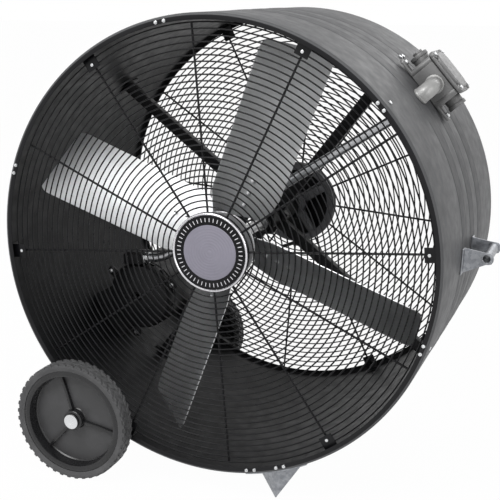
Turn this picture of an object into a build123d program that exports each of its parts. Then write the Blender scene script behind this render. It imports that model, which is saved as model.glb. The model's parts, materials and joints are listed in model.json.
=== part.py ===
"""Portable belt-drive drum fan: steel drum on two wheels and two pointed feet.

Millimetres, +Z up, air blows out towards -Y (the front).  The origin lies on the
floor, midway along the drum and midway between the drum's left side and the handle.
"Angle" always means: about the drum axis, seen from the front, anticlockwise from +X.
"""
from build123d import *
from math import acos, asin, cos, degrees, hypot, radians, sin, sqrt, tan
import os

os.makedirs("parts", exist_ok=True)

# ---- Drum -------------------------------------------------------------------
drum_diameter = 965.0
drum_depth = 616.0
drum_sheet = 1.6
lip_width = 14.0            # inward-turned flange at each end
seat_gap = 0.3              # paint thickness left under pieces that sit on a curved wall

# Round pieces that only have to look round are regular polygons with this many sides.
large_sides = 36
middle_sides = 24
small_sides = 16

# ---- Wire guards ------------------------------------------------------------
guard_setback = 18.0        # rim face to the plane in which rings meet spokes
guard_clearance = 4.6       # lip edge to the outermost ring
ring_pitch = 12.7
ring_count = 31
ring_wire = 3.2
ring_rise = 2.8             # height of a ring over the spokes
ring_sides_per_spoke = 1    # straight sides of each ring between two spokes
spoke_count = 12
spoke_wire = 5.0
spoke_depth = 4.5
guard_angle = 4.6
guard_tab_count = 6
guard_tab_width = 24.0
guard_tab_thickness = 2.5
badge_radius = 84.0
badge_thickness = 5.0
center_plate_radius = 86.0

# ---- Fan rotor --------------------------------------------------------------
blade_count = 4
blade_angle = 69.4          # where the first blade stands at rest
blade_radius = 441.0
blade_sheet = 2.0
blade_root_radius = 58.0
blade_root_width = 90.0     # seen from the front, as the next two
blade_shoulder_radius = 110.0
blade_shoulder_width = 117.0
blade_tip_width = 124.0
blade_pitch = 43.0          # degrees out of the plane of the disc
blade_bend = 500.0          # radius to which the sheet is rolled
blade_corner = 24.0
blade_center = 131.0        # rim face to the middle of the blades
hub_radius = 34.0
hub_length = 56.0
hub_nose = 27.0             # boss to the front of the hub's cover plate
hub_plate_radius = 74.0
hub_plate_sheet = 3.0
arm_width = 44.0
arm_sheet = 5.0
arm_reach = 162.0
shaft_diameter = 25.0
key_fit = 0.05              # radial fit of hubs and bearings on their shafts
shaft_front = 97.0          # rim face to the front end of the shaft
shaft_overhang = 14.0       # shaft behind the driven pulley's middle

# ---- Bearing frame ----------------------------------------------------------
frame_station = 400.0       # rim face to the plane of the four struts
frame_angle = 52.0
housing_front = 328.0       # rim face to the front of the housing tube
housing_length = 172.0
housing_diameter = 50.0
housing_bore = 32.0
housing_block = 58.0
housing_block_depth = 26.0
bearing_flange = 56.0
bearing_flange_sheet = 6.0
bearing_boss_diameter = 44.0
bearing_boss = 13.0
strut_width = 25.0
strut_depth = 20.0
strut_sheet = 2.5
strut_foot = 44.0
strut_foot_sheet = 4.0

# ---- Belt drive -------------------------------------------------------------
pulley_station = 574.0      # rim face to the belt's middle
driven_diameter = 202.0
drive_diameter = 76.0
pulley_width = 22.0
belt_top_width = 13.0
belt_height = 8.0
belt_flank = 18.0           # degrees each side of the groove
belt_clearance = 0.6
groove_relief = 1.4
belt_below_rim = 0.5
pulley_rim = 7.0            # metal under the groove
pulley_spoke_count = 4
pulley_spoke_width = 20.0
pulley_spoke_depth = 9.0
pulley_spoke_angle = 30.0
pulley_hub_diameter = 56.0

# ---- Motor ------------------------------------------------------------------
motor_angle = 213.6
motor_gap = 37.08           # cradle base to the motor
motor_front = 250.0         # rim face to the motor's front face
motor_length = 220.0
motor_diameter = 165.0
bell_depth = 14.0           # bevel of the end bells
lug_count = 3
lug_ring_radius = 94.0      # through-bolt lugs of the front end bell
lug_size = 20.0
lug_depth = 9.0
lug_start_angle = 23.0
motor_shaft_diameter = 15.9
motor_shaft_seat = 14.0     # depth of the shaft in the rear end bell
cradle_width = 124.0
cradle_length = 150.0
cradle_sheet = 4.0
cradle_grip = 52.0          # half width of the cradle's saddle plates at the motor
terminal_angle = 95.0       # about the motor axis
terminal_station = 272.0
terminal_length = 52.0
terminal_width = 46.0
terminal_height = 26.0

# ---- Conduit and junction box -----------------------------------------------
conduit_station = 266.0     # rim face to the conduit and to the elbow's leg
conduit_angle = 39.0        # where it passes through the drum wall
conduit_diameter = 21.0
conduit_wall_run = 24.0
conduit_box_run = 34.0
connector_flats = 27.0
connector_length = 14.0
wire_hole_diameter = 18.0
box_station = 358.0
box_angle = 40.7
box_length = 112.0          # round the drum
box_width = 90.0            # along the drum
box_height = 50.7
box_standoff = seat_gap
box_corner = 9.0
gasket_thickness = 2.0
cover_thickness = 9.0
cover_overhang = 3.0
cover_bevel = 3.0
cover_screw_flats = 8.0
cover_screw_head = 3.0
cover_screw_inset = 9.0
lug_reach = 26.0            # of the box's mounting lugs, at the front corners
lug_width = 22.0
lug_sheet = 6.0
box_bolt_flats = 10.0
box_bolt_head = 5.0
port_diameter = 34.0
port_length = 14.0
port_height = 32.0          # drum surface to the middle of the ports
inlet_bore_diameter = 20.6
inlet_bore_depth = 15.0
plug_flats = 24.0
plug_thickness = 7.0
elbow_diameter = 30.0
elbow_sides = 12
elbow_bend = 26.0
elbow_steps = 4
elbow_offset = -14.0        # round the drum from the box's middle

# ---- Wheels and axle --------------------------------------------------------
wheel_diameter = 268.0
wheel_sides = 24            # a flat stands on the floor
wheel_gap = 8.0             # drum's rim to the tyre
tyre_width = 42.0
tyre_tread = 28.0
tyre_side_diameter = 258.0  # where the sidewalls are widest
tyre_bore_diameter = 236.0
tyre_bead = 34.0
rim_width = 32.0
rim_opening_diameter = 206.0
web_sheet = 6.0
wheel_hub_diameter = 44.0
wheel_rib_count = 3
wheel_rib_width = 5.0
wheel_rib_height = 9.0
wheel_rib_angle = 108.0
axle_diameter = 16.0
axle_fit = 0.1              # radial running fit of the wheels
axle_standoff = 25.5        # drum wall to the middle of the axle
axle_angle = 232.0
cap_inset = 4.0             # face of the cap behind the face of the tyre
cap_diameter = 28.0
cap_thickness = 4.0
side_play = 0.6             # along the axle, each side of a wheel
spacer_diameter = 24.0
bracket_station = 30.0      # rim face to the front side of the axle bracket
bracket_sheet = 4.0
bracket_saddle_length = 44.0
bracket_saddle_turn = 12.0  # degrees round the drum
bracket_half_width = 40.0
bracket_eye_radius = 16.0
saddle_sheet = 3.0

# ---- Feet -------------------------------------------------------------------
foot_sheet = 3.0
foot_tip_reach = 142.0              # right of the drum axis
foot_tip_station = 27.0             # behind the rim face
foot_tip_width = 14.0
foot_tip_depth = 10.0
foot_tip_height = 14.0
foot_tip_share = 0.14               # where the wings end, as a share of their length
foot_fold_angle = 287.4
foot_fold_station = 12.0
foot_left_angle = 282.6
foot_right_angle = 294.6
foot_edge_station = 45.0
foot_saddle_station = 31.0
foot_saddle_length = 50.0
foot_saddle_angle = 288.6
foot_saddle_turn = 16.0

# ---- Carry handle -----------------------------------------------------------
handle_angle = -1.6
handle_standoff = 48.5
handle_station = 222.0      # rim face to the front ear's front side
handle_span = 106.0
handle_tube_diameter = 21.3
handle_tube_wall = 2.6
handle_tube_sides = 16
handle_sheet = 3.0
handle_base_angle = -2.7
handle_base_width = 58.0
handle_flange = 22.0
handle_eye_radius = 15.0

# ---- Derived places ---------------------------------------------------------
drum_radius = drum_diameter / 2
drum_inner = drum_radius - drum_sheet
outside_seat = drum_radius + seat_gap
saddle_outer = outside_seat + saddle_sheet
inside_seat = drum_inner - seat_gap
lip_radius = drum_radius - lip_width
guard_radius = lip_radius - guard_clearance
shaft_radius = shaft_diameter / 2
half_depth = drum_depth / 2

axle_ring = drum_radius + axle_standoff
axis_height = wheel_diameter / 2 - axle_ring * sin(radians(axle_angle))
handle_ring = drum_radius + handle_standoff
handle_reach = handle_ring * cos(radians(handle_angle)) + handle_eye_radius
drum_x = (drum_radius - handle_reach) / 2
motor_radius = motor_diameter / 2
cradle_seat = sqrt(inside_seat**2 - (cradle_width / 2) ** 2)
motor_ring = cradle_seat - cradle_sheet - motor_gap - motor_radius     # drum axis to motor axis


def station(distance):
    """Y of a place this far behind the front rim face."""
    return distance - half_depth


def around(radius, angle, y=0.0):
    """Point at a radius and angle about the drum axis."""
    turn = radians(angle)
    return Vector(drum_x + radius * cos(turn), y, axis_height + radius * sin(turn))


def facing_front(y):
    """Plane square to the drum axis: local x right, local y up, normal to the front."""
    return Plane(origin=(drum_x, y, axis_height), x_dir=(1, 0, 0), z_dir=(0, -1, 0))


def facing_rear(y):
    """The same plane seen from behind: local x left, local y up, normal to the rear."""
    return Plane(origin=(drum_x, y, axis_height), x_dir=(-1, 0, 0), z_dir=(0, 1, 0))


def spoke_plane(y, angle):
    """Front-facing plane turned so that local x runs out along an angle."""
    turn = radians(angle)
    return Plane(origin=(drum_x, y, axis_height), x_dir=(cos(turn), 0, sin(turn)), z_dir=(0, -1, 0))


def wall_plane(radius, angle, y):
    """Plane tangent to a drum radius: local x rearwards, local y anticlockwise, normal outwards."""
    turn = radians(angle)
    return Plane(origin=around(radius, angle, y), x_dir=(0, 1, 0), z_dir=(cos(turn), 0, sin(turn)))


def turning_plane(center):
    """Plane for turned profiles: local x is the radius, local y runs rearwards."""
    return Plane(origin=(center.X, 0, center.Z), x_dir=(1, 0, 0), z_dir=(0, 0, 1))


def axis_through(center):
    return Axis((center.X, 0, center.Z), (0, 1, 0))


def wall_strip(angle, turn, y_from, y_to):
    """Plate bent round the drum's outside in short flats, between two distances from the rim."""
    steps = max(2, round(turn / 4))
    corner = 1 / cos(radians(turn / steps / 2))
    inside, outside = [], []
    for step in range(steps + 1):
        turned = radians(angle + turn * (step / steps - 0.5))
        inside.append((outside_seat * corner * cos(turned), outside_seat * corner * sin(turned)))
        outside.append((saddle_outer * corner * cos(turned), saddle_outer * corner * sin(turned)))
    with BuildPart() as strip:
        with BuildSketch(facing_front(station(y_to))):
            Polygon(*inside, *reversed(outside), align=None)
        extrude(amount=y_to - y_from)
    return strip.part


def polygon_path(plane, radius, sides, start=0.0):
    """Closed path of straight sides whose corners lie on a circle."""
    turns = [radians(start + step * 360 / sides) for step in range(sides)]
    with BuildLine(plane) as path:
        Polyline(*[(radius * cos(turn), radius * sin(turn)) for turn in turns], close=True)
    return path.line


def across(path, plane):
    """Plane across the start of such a path: local x outwards, local y along the plane's normal."""
    along = path % 0
    return Plane(origin=path @ 0, x_dir=along.cross(plane.z_dir), z_dir=-along)


def save(part, name):
    """Label a finished piece and write it to its own file."""
    part.label = name
    export_step(part, f"parts/{name}.step")


drum_center = around(0, 0)
drum_axis = axis_through(drum_center)

# ---- Drum shell: rolled sheet with an inward lip at each end ------------------
with BuildPart() as drum_shell:
    with BuildSketch(turning_plane(drum_center)):
        with BuildLine():
            Polyline(
                (lip_radius, -half_depth),
                (drum_radius, -half_depth),
                (drum_radius, half_depth),
                (lip_radius, half_depth),
                (lip_radius, half_depth - drum_sheet),
                (drum_inner, half_depth - drum_sheet),
                (drum_inner, -half_depth + drum_sheet),
                (lip_radius, -half_depth + drum_sheet),
                close=True,
            )
        make_face()
    revolve(axis=drum_axis)
    with BuildSketch(wall_plane(drum_inner - drum_sheet, conduit_angle, station(conduit_station))):
        Circle(wire_hole_diameter / 2)
    extrude(amount=3 * drum_sheet, mode=Mode.SUBTRACT)
save(drum_shell.part, "drum_shell")


# ---- Wire guards: concentric rings welded over radial spokes ------------------
ring_radii = [guard_radius - number * ring_pitch for number in range(ring_count)]
ring_profile = [(-ring_wire / 2, 0), (ring_wire / 2, 0), (0, ring_rise)]
ring_sides = spoke_count * ring_sides_per_spoke
ring_corner = 2 / (1 + cos(radians(180 / ring_sides)))     # corners stand this much further out


def guard_rings(plane):
    """Concentric wires standing on a plane, each with straight sides and a three-sided section."""
    with BuildPart() as rings:
        for radius in ring_radii:
            path = polygon_path(plane, radius * ring_corner, ring_sides, guard_angle)
            with BuildSketch(across(path, plane)):
                Polygon(*ring_profile, align=None)
            sweep(path=path, transition=Transition.RIGHT)
    return rings


def guard_spokes(plane, center_plate=0.0):
    """Radial bars behind the rings, with an optional round plate that they carry."""
    spoke_inner = ring_radii[-1] - ring_wire
    spoke_length = guard_radius * ring_corner + ring_wire / 2 - spoke_inner
    with BuildPart() as spokes:
        with BuildSketch(plane):
            with PolarLocations(spoke_inner + spoke_length / 2, spoke_count, start_angle=guard_angle):
                Rectangle(spoke_length, spoke_wire)
            if center_plate:
                RegularPolygon(center_plate, large_sides)
        extrude(amount=-spoke_depth)
    return spokes


front_guard_plane = facing_front(station(guard_setback))
rear_guard_plane = facing_rear(-station(guard_setback))
save(guard_rings(front_guard_plane).part, "front_guard_rings")
save(guard_spokes(front_guard_plane).part, "front_guard_spokes")
save(guard_rings(rear_guard_plane).part, "rear_guard_rings")
save(guard_spokes(rear_guard_plane, center_plate_radius).part, "rear_guard_spokes")


# ---- Guard tabs: bent lugs on the drum wall, over the outer rings -------------
tab_seat = sqrt(inside_seat**2 - (guard_tab_width / 2) ** 2)


def guard_tabs(plane):
    """Six L-shaped lugs: one leg along the wall, one across the front of the rings."""
    face = plane.offset(ring_rise + seat_gap)
    with BuildPart() as tabs:
        with BuildSketch(face):
            with PolarLocations(tab_seat - guard_tab_width / 2, guard_tab_count, start_angle=guard_angle):
                Rectangle(guard_tab_width, guard_tab_width)
        extrude(amount=guard_tab_thickness)
        with BuildSketch(face):
            with PolarLocations(tab_seat - guard_tab_thickness / 2, guard_tab_count, start_angle=guard_angle):
                Rectangle(guard_tab_thickness, guard_tab_width)
        extrude(amount=-guard_tab_width)
    return tabs


save(guard_tabs(front_guard_plane).part, "front_guard_tabs")
save(guard_tabs(rear_guard_plane).part, "rear_guard_tabs")

# ---- Round badge over the middle of the front guard ---------------------------
with BuildPart() as front_badge:
    with BuildSketch(front_guard_plane.offset(ring_rise)):
        RegularPolygon(badge_radius, large_sides)
    extrude(amount=badge_thickness)
save(front_badge.part, "front_badge")


# ---- Fan blades ----------------------------------------------------------------
def blade_section(angle, reach):
    """Plane across a blade: local x along its chord, local y towards its pushing face."""
    turn = radians(angle)
    tilt = radians(blade_pitch)
    outward = Vector(cos(turn), 0, sin(turn))
    sideways = Vector(-sin(turn), 0, cos(turn))
    chord = sideways * cos(tilt) - Vector(0, 1, 0) * sin(tilt)
    return Plane(origin=around(reach, angle, station(blade_center)), x_dir=chord, z_dir=outward)


def rolled_outline(width, front, sheet):
    """Corners and arc middles of a sheet rolled hollow towards local +y, its front face set back."""
    lean = asin(width / 2 / blade_bend)
    arcs = []
    for radius in (blade_bend + front, blade_bend + front + sheet):
        arcs.append([(radius * sin(turn), blade_bend - radius * cos(turn)) for turn in (-lean, 0, lean)])
    return arcs


def make_blade(angle):
    """Pressed paddle, rolled across its width, with a tapered outline and rounded tip corners."""
    widest = 1.16 * blade_tip_width / cos(radians(blade_pitch))
    with BuildPart() as blade:
        with BuildSketch(blade_section(angle, blade_root_radius)):
            with BuildLine():
                front, back = [ThreePointArc(*arc) for arc in rolled_outline(widest, 0, blade_sheet)]
                Line(front @ 0, back @ 0)
                Line(front @ 1, back @ 1)
            make_face()
        extrude(amount=blade_radius - blade_root_radius)
        with BuildSketch(spoke_plane(station(blade_center), angle)) as outline:
            Circle(blade_radius)
            Polygon(
                (blade_root_radius, -blade_root_width / 2),
                (blade_shoulder_radius, -blade_shoulder_width / 2),
                (blade_radius, -blade_tip_width / 2),
                (blade_radius, blade_tip_width / 2),
                (blade_shoulder_radius, blade_shoulder_width / 2),
                (blade_root_radius, blade_root_width / 2),
                align=None,
                mode=Mode.INTERSECT,
            )
            fillet(outline.vertices().group_by(Axis.X)[-1], blade_corner)
        extrude(amount=blade_tip_width, both=True, mode=Mode.INTERSECT)
    return blade


blade_angles = [blade_angle + number * 360 / blade_count for number in range(blade_count)]
for number, angle in enumerate(blade_angles, 1):
    save(make_blade(angle).part, f"blade_{number}")

# ---- Fan hub: boss with a pitched arm behind each blade -------------------------
with BuildPart() as fan_hub:
    with BuildSketch(facing_front(station(blade_center) + hub_length / 2)):
        RegularPolygon(hub_radius, middle_sides)
    extrude(amount=hub_length + hub_nose)
    with BuildSketch(facing_front(station(blade_center) - hub_length / 2 - hub_nose + hub_plate_sheet)):
        RegularPolygon(hub_plate_radius, large_sides)
    extrude(amount=hub_plate_sheet)
    for angle in blade_angles:
        with BuildSketch(blade_section(angle, hub_radius / 2)):
            with BuildLine():
                front, back = [
                    ThreePointArc(*arc)
                    for arc in rolled_outline(arm_width, blade_sheet + seat_gap, arm_sheet)
                ]
                Line(front @ 0, back @ 0)
                Line(front @ 1, back @ 1)
            make_face()
        extrude(amount=arm_reach - hub_radius / 2)
    with BuildSketch(facing_front(station(blade_center) + hub_length)):
        RegularPolygon(shaft_radius + key_fit, middle_sides, major_radius=False)
    extrude(amount=2 * hub_length, mode=Mode.SUBTRACT)
save(fan_hub.part, "fan_hub")

shaft_rear = pulley_station + shaft_overhang
with BuildPart() as fan_shaft:
    with BuildSketch(facing_front(station(shaft_rear))):
        Circle(shaft_radius)
    extrude(amount=shaft_rear - shaft_front)
save(fan_shaft.part, "fan_shaft")

# ---- Bearing frame: four channels carry a housing tube with a bearing at each end
housing_rear = housing_front + housing_length
strut_angles = [frame_angle + number * 90 for number in range(4)]
block_front = frame_station - housing_block_depth / 2
with BuildPart() as bearing_housing:
    with BuildSketch(facing_front(station(housing_rear))):
        RegularPolygon(housing_diameter / 2, middle_sides)
    extrude(amount=housing_length)
    with BuildSketch(spoke_plane(station(block_front + housing_block_depth), frame_angle)):
        Rectangle(housing_block, housing_block)
    extrude(amount=housing_block_depth)
    with BuildSketch(facing_front(station(housing_rear))):
        RegularPolygon(housing_bore / 2, small_sides)
    extrude(amount=housing_length, mode=Mode.SUBTRACT)
save(bearing_housing.part, "bearing_housing")

bearing_depth = bearing_flange_sheet + bearing_boss
with BuildPart() as shaft_bearings:
    for face in (facing_front(station(housing_front)), facing_rear(station(housing_rear))):
        with BuildSketch(face):
            Rectangle(bearing_flange, bearing_flange)
        extrude(amount=bearing_flange_sheet)
        with BuildSketch(face):
            RegularPolygon(bearing_boss_diameter / 2, small_sides)
        extrude(amount=bearing_depth)
        with BuildSketch(face):
            RegularPolygon(shaft_radius + key_fit, middle_sides, major_radius=False)
        extrude(amount=bearing_depth, mode=Mode.SUBTRACT)
save(shaft_bearings.part, "shaft_bearings")

strut_seat = sqrt(inside_seat**2 - (strut_foot / 2) ** 2)
for number, angle in enumerate(strut_angles, 1):
    with BuildPart() as strut:
        with BuildSketch(wall_plane(housing_block / 2, angle, station(frame_station))):
            Rectangle(strut_depth, strut_width)
            with Locations((strut_sheet, 0)):
                Rectangle(strut_depth, strut_width - 2 * strut_sheet, mode=Mode.SUBTRACT)
        extrude(amount=strut_seat - housing_block / 2)
        with BuildSketch(wall_plane(strut_seat - strut_foot_sheet, angle, station(frame_station))):
            Rectangle(strut_foot, strut_foot)
        extrude(amount=strut_foot_sheet)
    save(strut.part, f"strut_{number}")

# ---- Belt drive ------------------------------------------------------------------
motor_center = around(motor_ring, motor_angle)
belt_slope = tan(radians(belt_flank))
belt_base_width = belt_top_width - 2 * belt_height * belt_slope


def pulley_profile(diameter, inner_radius):
    """Rim or disc with a V groove, as (outwards from the corners' radius, along the axis)."""
    outer = diameter / 2
    belt_top = outer - belt_below_rim
    floor = belt_top - belt_height - groove_relief
    opening = belt_clearance / cos(radians(belt_flank))
    at_rim = belt_top_width / 2 + belt_below_rim * belt_slope + opening
    at_floor = belt_base_width / 2 - groove_relief * belt_slope + opening
    half = pulley_width / 2
    return [
        (inner_radius - outer, -half),
        (0, -half),
        (0, -at_rim),
        (floor - outer, -at_floor),
        (floor - outer, at_floor),
        (0, at_rim),
        (0, half),
        (inner_radius - outer, half),
    ]


driven_rim_inner = driven_diameter / 2 - belt_below_rim - belt_height - groove_relief - pulley_rim
pulley_plane = facing_rear(station(pulley_station))
pulley_back = facing_front(station(pulley_station + pulley_width / 2))
with BuildPart() as driven_pulley:
    path = polygon_path(pulley_plane, driven_diameter / 2, middle_sides)
    with BuildSketch(across(path, pulley_plane)):
        Polygon(*pulley_profile(driven_diameter, driven_rim_inner), align=None)
    sweep(path=path, transition=Transition.RIGHT)
    with BuildSketch(spoke_plane(station(pulley_station + pulley_spoke_depth / 2), pulley_spoke_angle)):
        with PolarLocations(driven_rim_inner / 2, pulley_spoke_count):
            Rectangle(driven_rim_inner + pulley_rim / 2, pulley_spoke_width)
    extrude(amount=pulley_spoke_depth)
    with BuildSketch(pulley_back):
        RegularPolygon(pulley_hub_diameter / 2, small_sides)
    extrude(amount=pulley_width)
    with BuildSketch(pulley_back):
        RegularPolygon(shaft_radius + key_fit, middle_sides, major_radius=False)
    extrude(amount=pulley_width, mode=Mode.SUBTRACT)
save(driven_pulley.part, "driven_pulley")

small_hub_radius = drive_diameter / 2 - belt_below_rim - belt_height - groove_relief - pulley_rim
motor_pulley_plane = Plane(
    origin=(motor_center.X, station(pulley_station), motor_center.Z), x_dir=(-1, 0, 0), z_dir=(0, 1, 0)
)
with BuildPart() as motor_pulley:
    path = polygon_path(motor_pulley_plane, drive_diameter / 2, small_sides)
    with BuildSketch(across(path, motor_pulley_plane)):
        Polygon(*pulley_profile(drive_diameter, small_hub_radius), align=None)
    sweep(path=path, transition=Transition.RIGHT)
    with BuildSketch(motor_pulley_plane.offset(-pulley_width / 2)):
        RegularPolygon(small_hub_radius + pulley_rim / 2, small_sides)
    extrude(amount=pulley_width)
    with BuildSketch(motor_pulley_plane.offset(-pulley_width / 2)):
        RegularPolygon(motor_shaft_diameter / 2 + key_fit, middle_sides, major_radius=False)
    extrude(amount=pulley_width, mode=Mode.SUBTRACT)
save(motor_pulley.part, "motor_pulley")

# The belt runs straight between the points where it leaves the two pulleys.
driven_pitch = driven_diameter / 2 - belt_below_rim
drive_pitch = drive_diameter / 2 - belt_below_rim
lean = degrees(acos((driven_pitch - drive_pitch) / motor_ring))


def belt_arc(center, radius, first, last, steps):
    """Points along the belt's outside where it lies on a pulley."""
    turns = [radians(first + (last - first) * step / steps) for step in range(steps + 1)]
    x, z = center.X - drum_x, center.Z - axis_height
    return [(x + radius * cos(turn), z + radius * sin(turn)) for turn in turns]


with BuildPart() as drive_belt:
    upper, lower = motor_angle - lean, motor_angle + lean
    with BuildLine(facing_front(station(pulley_station))) as belt_path:
        Polyline(
            *belt_arc(drum_center, driven_pitch, lower - 360, upper, middle_sides * 5 // 8),
            *belt_arc(motor_center, drive_pitch, upper, lower, small_sides // 2),
            close=True,
        )
    along = belt_path.line % 0
    with BuildSketch(Plane(origin=belt_path.line @ 0, x_dir=along.cross(Vector(0, -1, 0)), z_dir=along)):
        Polygon(
            (0, -belt_top_width / 2),
            (0, belt_top_width / 2),
            (-belt_height, belt_base_width / 2),
            (-belt_height, -belt_base_width / 2),
            align=None,
        )
    sweep(path=belt_path.line, transition=Transition.RIGHT)
save(drive_belt.part, "drive_belt")

# ---- Motor -------------------------------------------------------------------------
motor_rear = motor_front + motor_length


def motor_plane(distance, angle=0.0):
    """Rear-facing plane on the motor axis."""
    turn = radians(angle)
    return Plane(
        origin=(motor_center.X, station(distance), motor_center.Z),
        x_dir=(cos(turn), 0, sin(turn)),
        z_dir=(0, 1, 0),
    )


with BuildPart() as motor_housing:
    with BuildSketch(motor_plane(motor_front)):
        RegularPolygon(motor_radius, large_sides)
    extrude(amount=motor_length)
    ends = motor_housing.faces().sort_by(Axis.Y)
    chamfer(ends[0].edges() + ends[-1].edges(), bell_depth)
    lug_inner = motor_radius - bell_depth - lug_depth
    lug_outer = lug_ring_radius + lug_size / 2
    for number in range(lug_count):
        with BuildSketch(motor_plane(motor_front + bell_depth, lug_start_angle + number * 360 / lug_count)):
            with Locations(((lug_inner + lug_outer) / 2, 0)):
                Rectangle(lug_outer - lug_inner, lug_size)
        extrude(amount=lug_depth)
    with BuildSketch(motor_plane(motor_rear - motor_shaft_seat)):
        RegularPolygon(motor_shaft_diameter / 2 + key_fit, middle_sides, major_radius=False)
    extrude(amount=2 * motor_shaft_seat, mode=Mode.SUBTRACT)
save(motor_housing.part, "motor_housing")

shaft_end = pulley_station + pulley_width / 2
with BuildPart() as motor_shaft:
    with BuildSketch(motor_plane(motor_rear - motor_shaft_seat)):
        Circle(motor_shaft_diameter / 2)
    extrude(amount=shaft_end - motor_rear + motor_shaft_seat)
save(motor_shaft.part, "motor_shaft")

cradle_middle = motor_front + motor_length / 2
with BuildPart() as motor_cradle:
    with BuildSketch(wall_plane(cradle_seat - cradle_sheet, motor_angle, station(cradle_middle))):
        Rectangle(cradle_length, cradle_width)
    extrude(amount=cradle_sheet)
    for end in (cradle_middle - cradle_length / 2 + cradle_sheet, cradle_middle + cradle_length / 2):
        with BuildSketch(spoke_plane(station(end), motor_angle)):
            Polygon(
                (motor_ring, -cradle_grip),
                (cradle_seat - cradle_sheet, -cradle_width / 2),
                (cradle_seat - cradle_sheet, cradle_width / 2),
                (motor_ring, cradle_grip),
                align=None,
            )
            with Locations((motor_ring, 0)):
                RegularPolygon(motor_radius + seat_gap, large_sides, major_radius=False, mode=Mode.SUBTRACT)
        extrude(amount=cradle_sheet)
save(motor_cradle.part, "motor_cradle")

terminal_turn = radians(terminal_angle)
terminal_out = Vector(cos(terminal_turn), 0, sin(terminal_turn))
terminal_side = Vector(sin(terminal_turn), 0, -cos(terminal_turn))
terminal_seat = motor_radius + seat_gap
terminal_base = Plane(
    origin=Vector(motor_center.X, station(terminal_station), motor_center.Z) + terminal_out * terminal_seat,
    x_dir=(0, 1, 0),
    z_dir=terminal_out,
)
with BuildPart() as motor_terminal_box:
    with BuildSketch(terminal_base):
        Rectangle(terminal_length, terminal_width)
    extrude(amount=terminal_height)
save(motor_terminal_box.part, "motor_terminal_box")

# ---- Conduit: from the drum wall, past the shaft, down to the terminal box -----------
conduit_y = station(conduit_station)
wall_joint = around(inside_seat - connector_length, conduit_angle, conduit_y)
wall_turn = around(inside_seat - connector_length - conduit_wall_run, conduit_angle, conduit_y)
box_face = (
    Vector(motor_center.X, conduit_y, motor_center.Z)
    + terminal_out * (terminal_seat + terminal_height / 2)
    + terminal_side * (terminal_width / 2)
)
box_joint = box_face + terminal_side * connector_length
box_turn = box_joint + terminal_side * conduit_box_run
with BuildPart() as conduit:
    with BuildLine() as conduit_path:
        Polyline(wall_joint, wall_turn, box_turn, box_joint)
    along = conduit_path.line % 0
    with BuildSketch(Plane(origin=conduit_path.line @ 0, x_dir=(0, 1, 0), z_dir=along)):
        RegularPolygon(conduit_diameter / 2, elbow_sides)
    sweep(transition=Transition.RIGHT)
save(conduit.part, "conduit")

with BuildPart() as conduit_connectors:
    for face in (
        wall_plane(inside_seat - connector_length, conduit_angle, conduit_y),
        Plane(origin=box_face, x_dir=(0, 1, 0), z_dir=terminal_side),
    ):
        with BuildSketch(face):
            RegularPolygon(connector_flats / 2, 6, major_radius=False)
        extrude(amount=connector_length)
save(conduit_connectors.part, "conduit_connectors")

# ---- Junction box on the drum's outside ---------------------------------------------
box_base = drum_radius + box_standoff


def box_plane(height):
    """Plane over the box's footprint, this high above the drum's surface."""
    return wall_plane(drum_radius + height, box_angle, station(box_station))


box_top = box_standoff + box_height
cover_seat = box_top + gasket_thickness
cover_top = cover_seat + cover_thickness
lug_x = -box_width / 2 + lug_width / 2
lug_y = box_length / 2 + lug_reach / 2
bolt_y = box_length / 2 + lug_reach - lug_width / 2
inlet_face = Plane(
    origin=box_plane(port_height).from_local_coords((0, -box_length / 2, 0)),
    x_dir=(0, 1, 0),
    z_dir=-box_plane(0).y_dir,
)
plug_face = Plane(
    origin=box_plane(port_height).from_local_coords((0, box_length / 2, 0)),
    x_dir=(0, 1, 0),
    z_dir=box_plane(0).y_dir,
)
with BuildPart() as junction_box:
    with BuildSketch(box_plane(box_standoff)) as footprint:
        Rectangle(box_width, box_length)
        chamfer(footprint.vertices(), box_corner)
    extrude(amount=box_height)
    with BuildSketch(box_plane(box_standoff)):
        with Locations((lug_x, lug_y), (lug_x, -lug_y)):
            Rectangle(lug_width, lug_reach)
    extrude(amount=lug_sheet)
    for face in (inlet_face, plug_face):
        with BuildSketch(face):
            RegularPolygon(port_diameter / 2, small_sides)
        extrude(amount=port_length)
    with BuildSketch(inlet_face.offset(port_length - inlet_bore_depth)):
        Circle(inlet_bore_diameter / 2)
    extrude(amount=2 * inlet_bore_depth, mode=Mode.SUBTRACT)
save(junction_box.part, "junction_box")

with BuildPart() as box_gasket:
    with BuildSketch(box_plane(box_top)) as footprint:
        Rectangle(box_width, box_length)
        chamfer(footprint.vertices(), box_corner)
    extrude(amount=gasket_thickness)
save(box_gasket.part, "box_gasket")

with BuildPart() as box_cover:
    with BuildSketch(box_plane(cover_seat)) as footprint:
        Rectangle(box_width + 2 * cover_overhang, box_length + 2 * cover_overhang)
        chamfer(footprint.vertices(), box_corner + cover_overhang)
    extrude(amount=cover_thickness)
    outermost = box_cover.faces().sort_by(Axis((0, 0, 0), box_plane(0).z_dir))[-1]
    chamfer(outermost.edges(), cover_bevel)
save(box_cover.part, "box_cover")

with BuildPart() as cover_screws:
    with BuildSketch(box_plane(cover_top)):
        with GridLocations(box_width - 2 * cover_screw_inset, box_length - 2 * cover_screw_inset, 2, 2):
            RegularPolygon(cover_screw_flats / 2, 6, major_radius=False)
    extrude(amount=cover_screw_head)
save(cover_screws.part, "cover_screws")

with BuildPart() as box_bolts:
    with BuildSketch(box_plane(box_standoff + lug_sheet)):
        with Locations((lug_x, bolt_y), (lug_x, -bolt_y)):
            RegularPolygon(box_bolt_flats / 2, 6, major_radius=False)
    extrude(amount=box_bolt_head)
save(box_bolts.part, "box_bolts")

with BuildPart() as port_plug:
    with BuildSketch(plug_face.offset(port_length)):
        RegularPolygon(plug_flats / 2, 8, major_radius=False)
    extrude(amount=plug_thickness)
save(port_plug.part, "port_plug")

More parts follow.
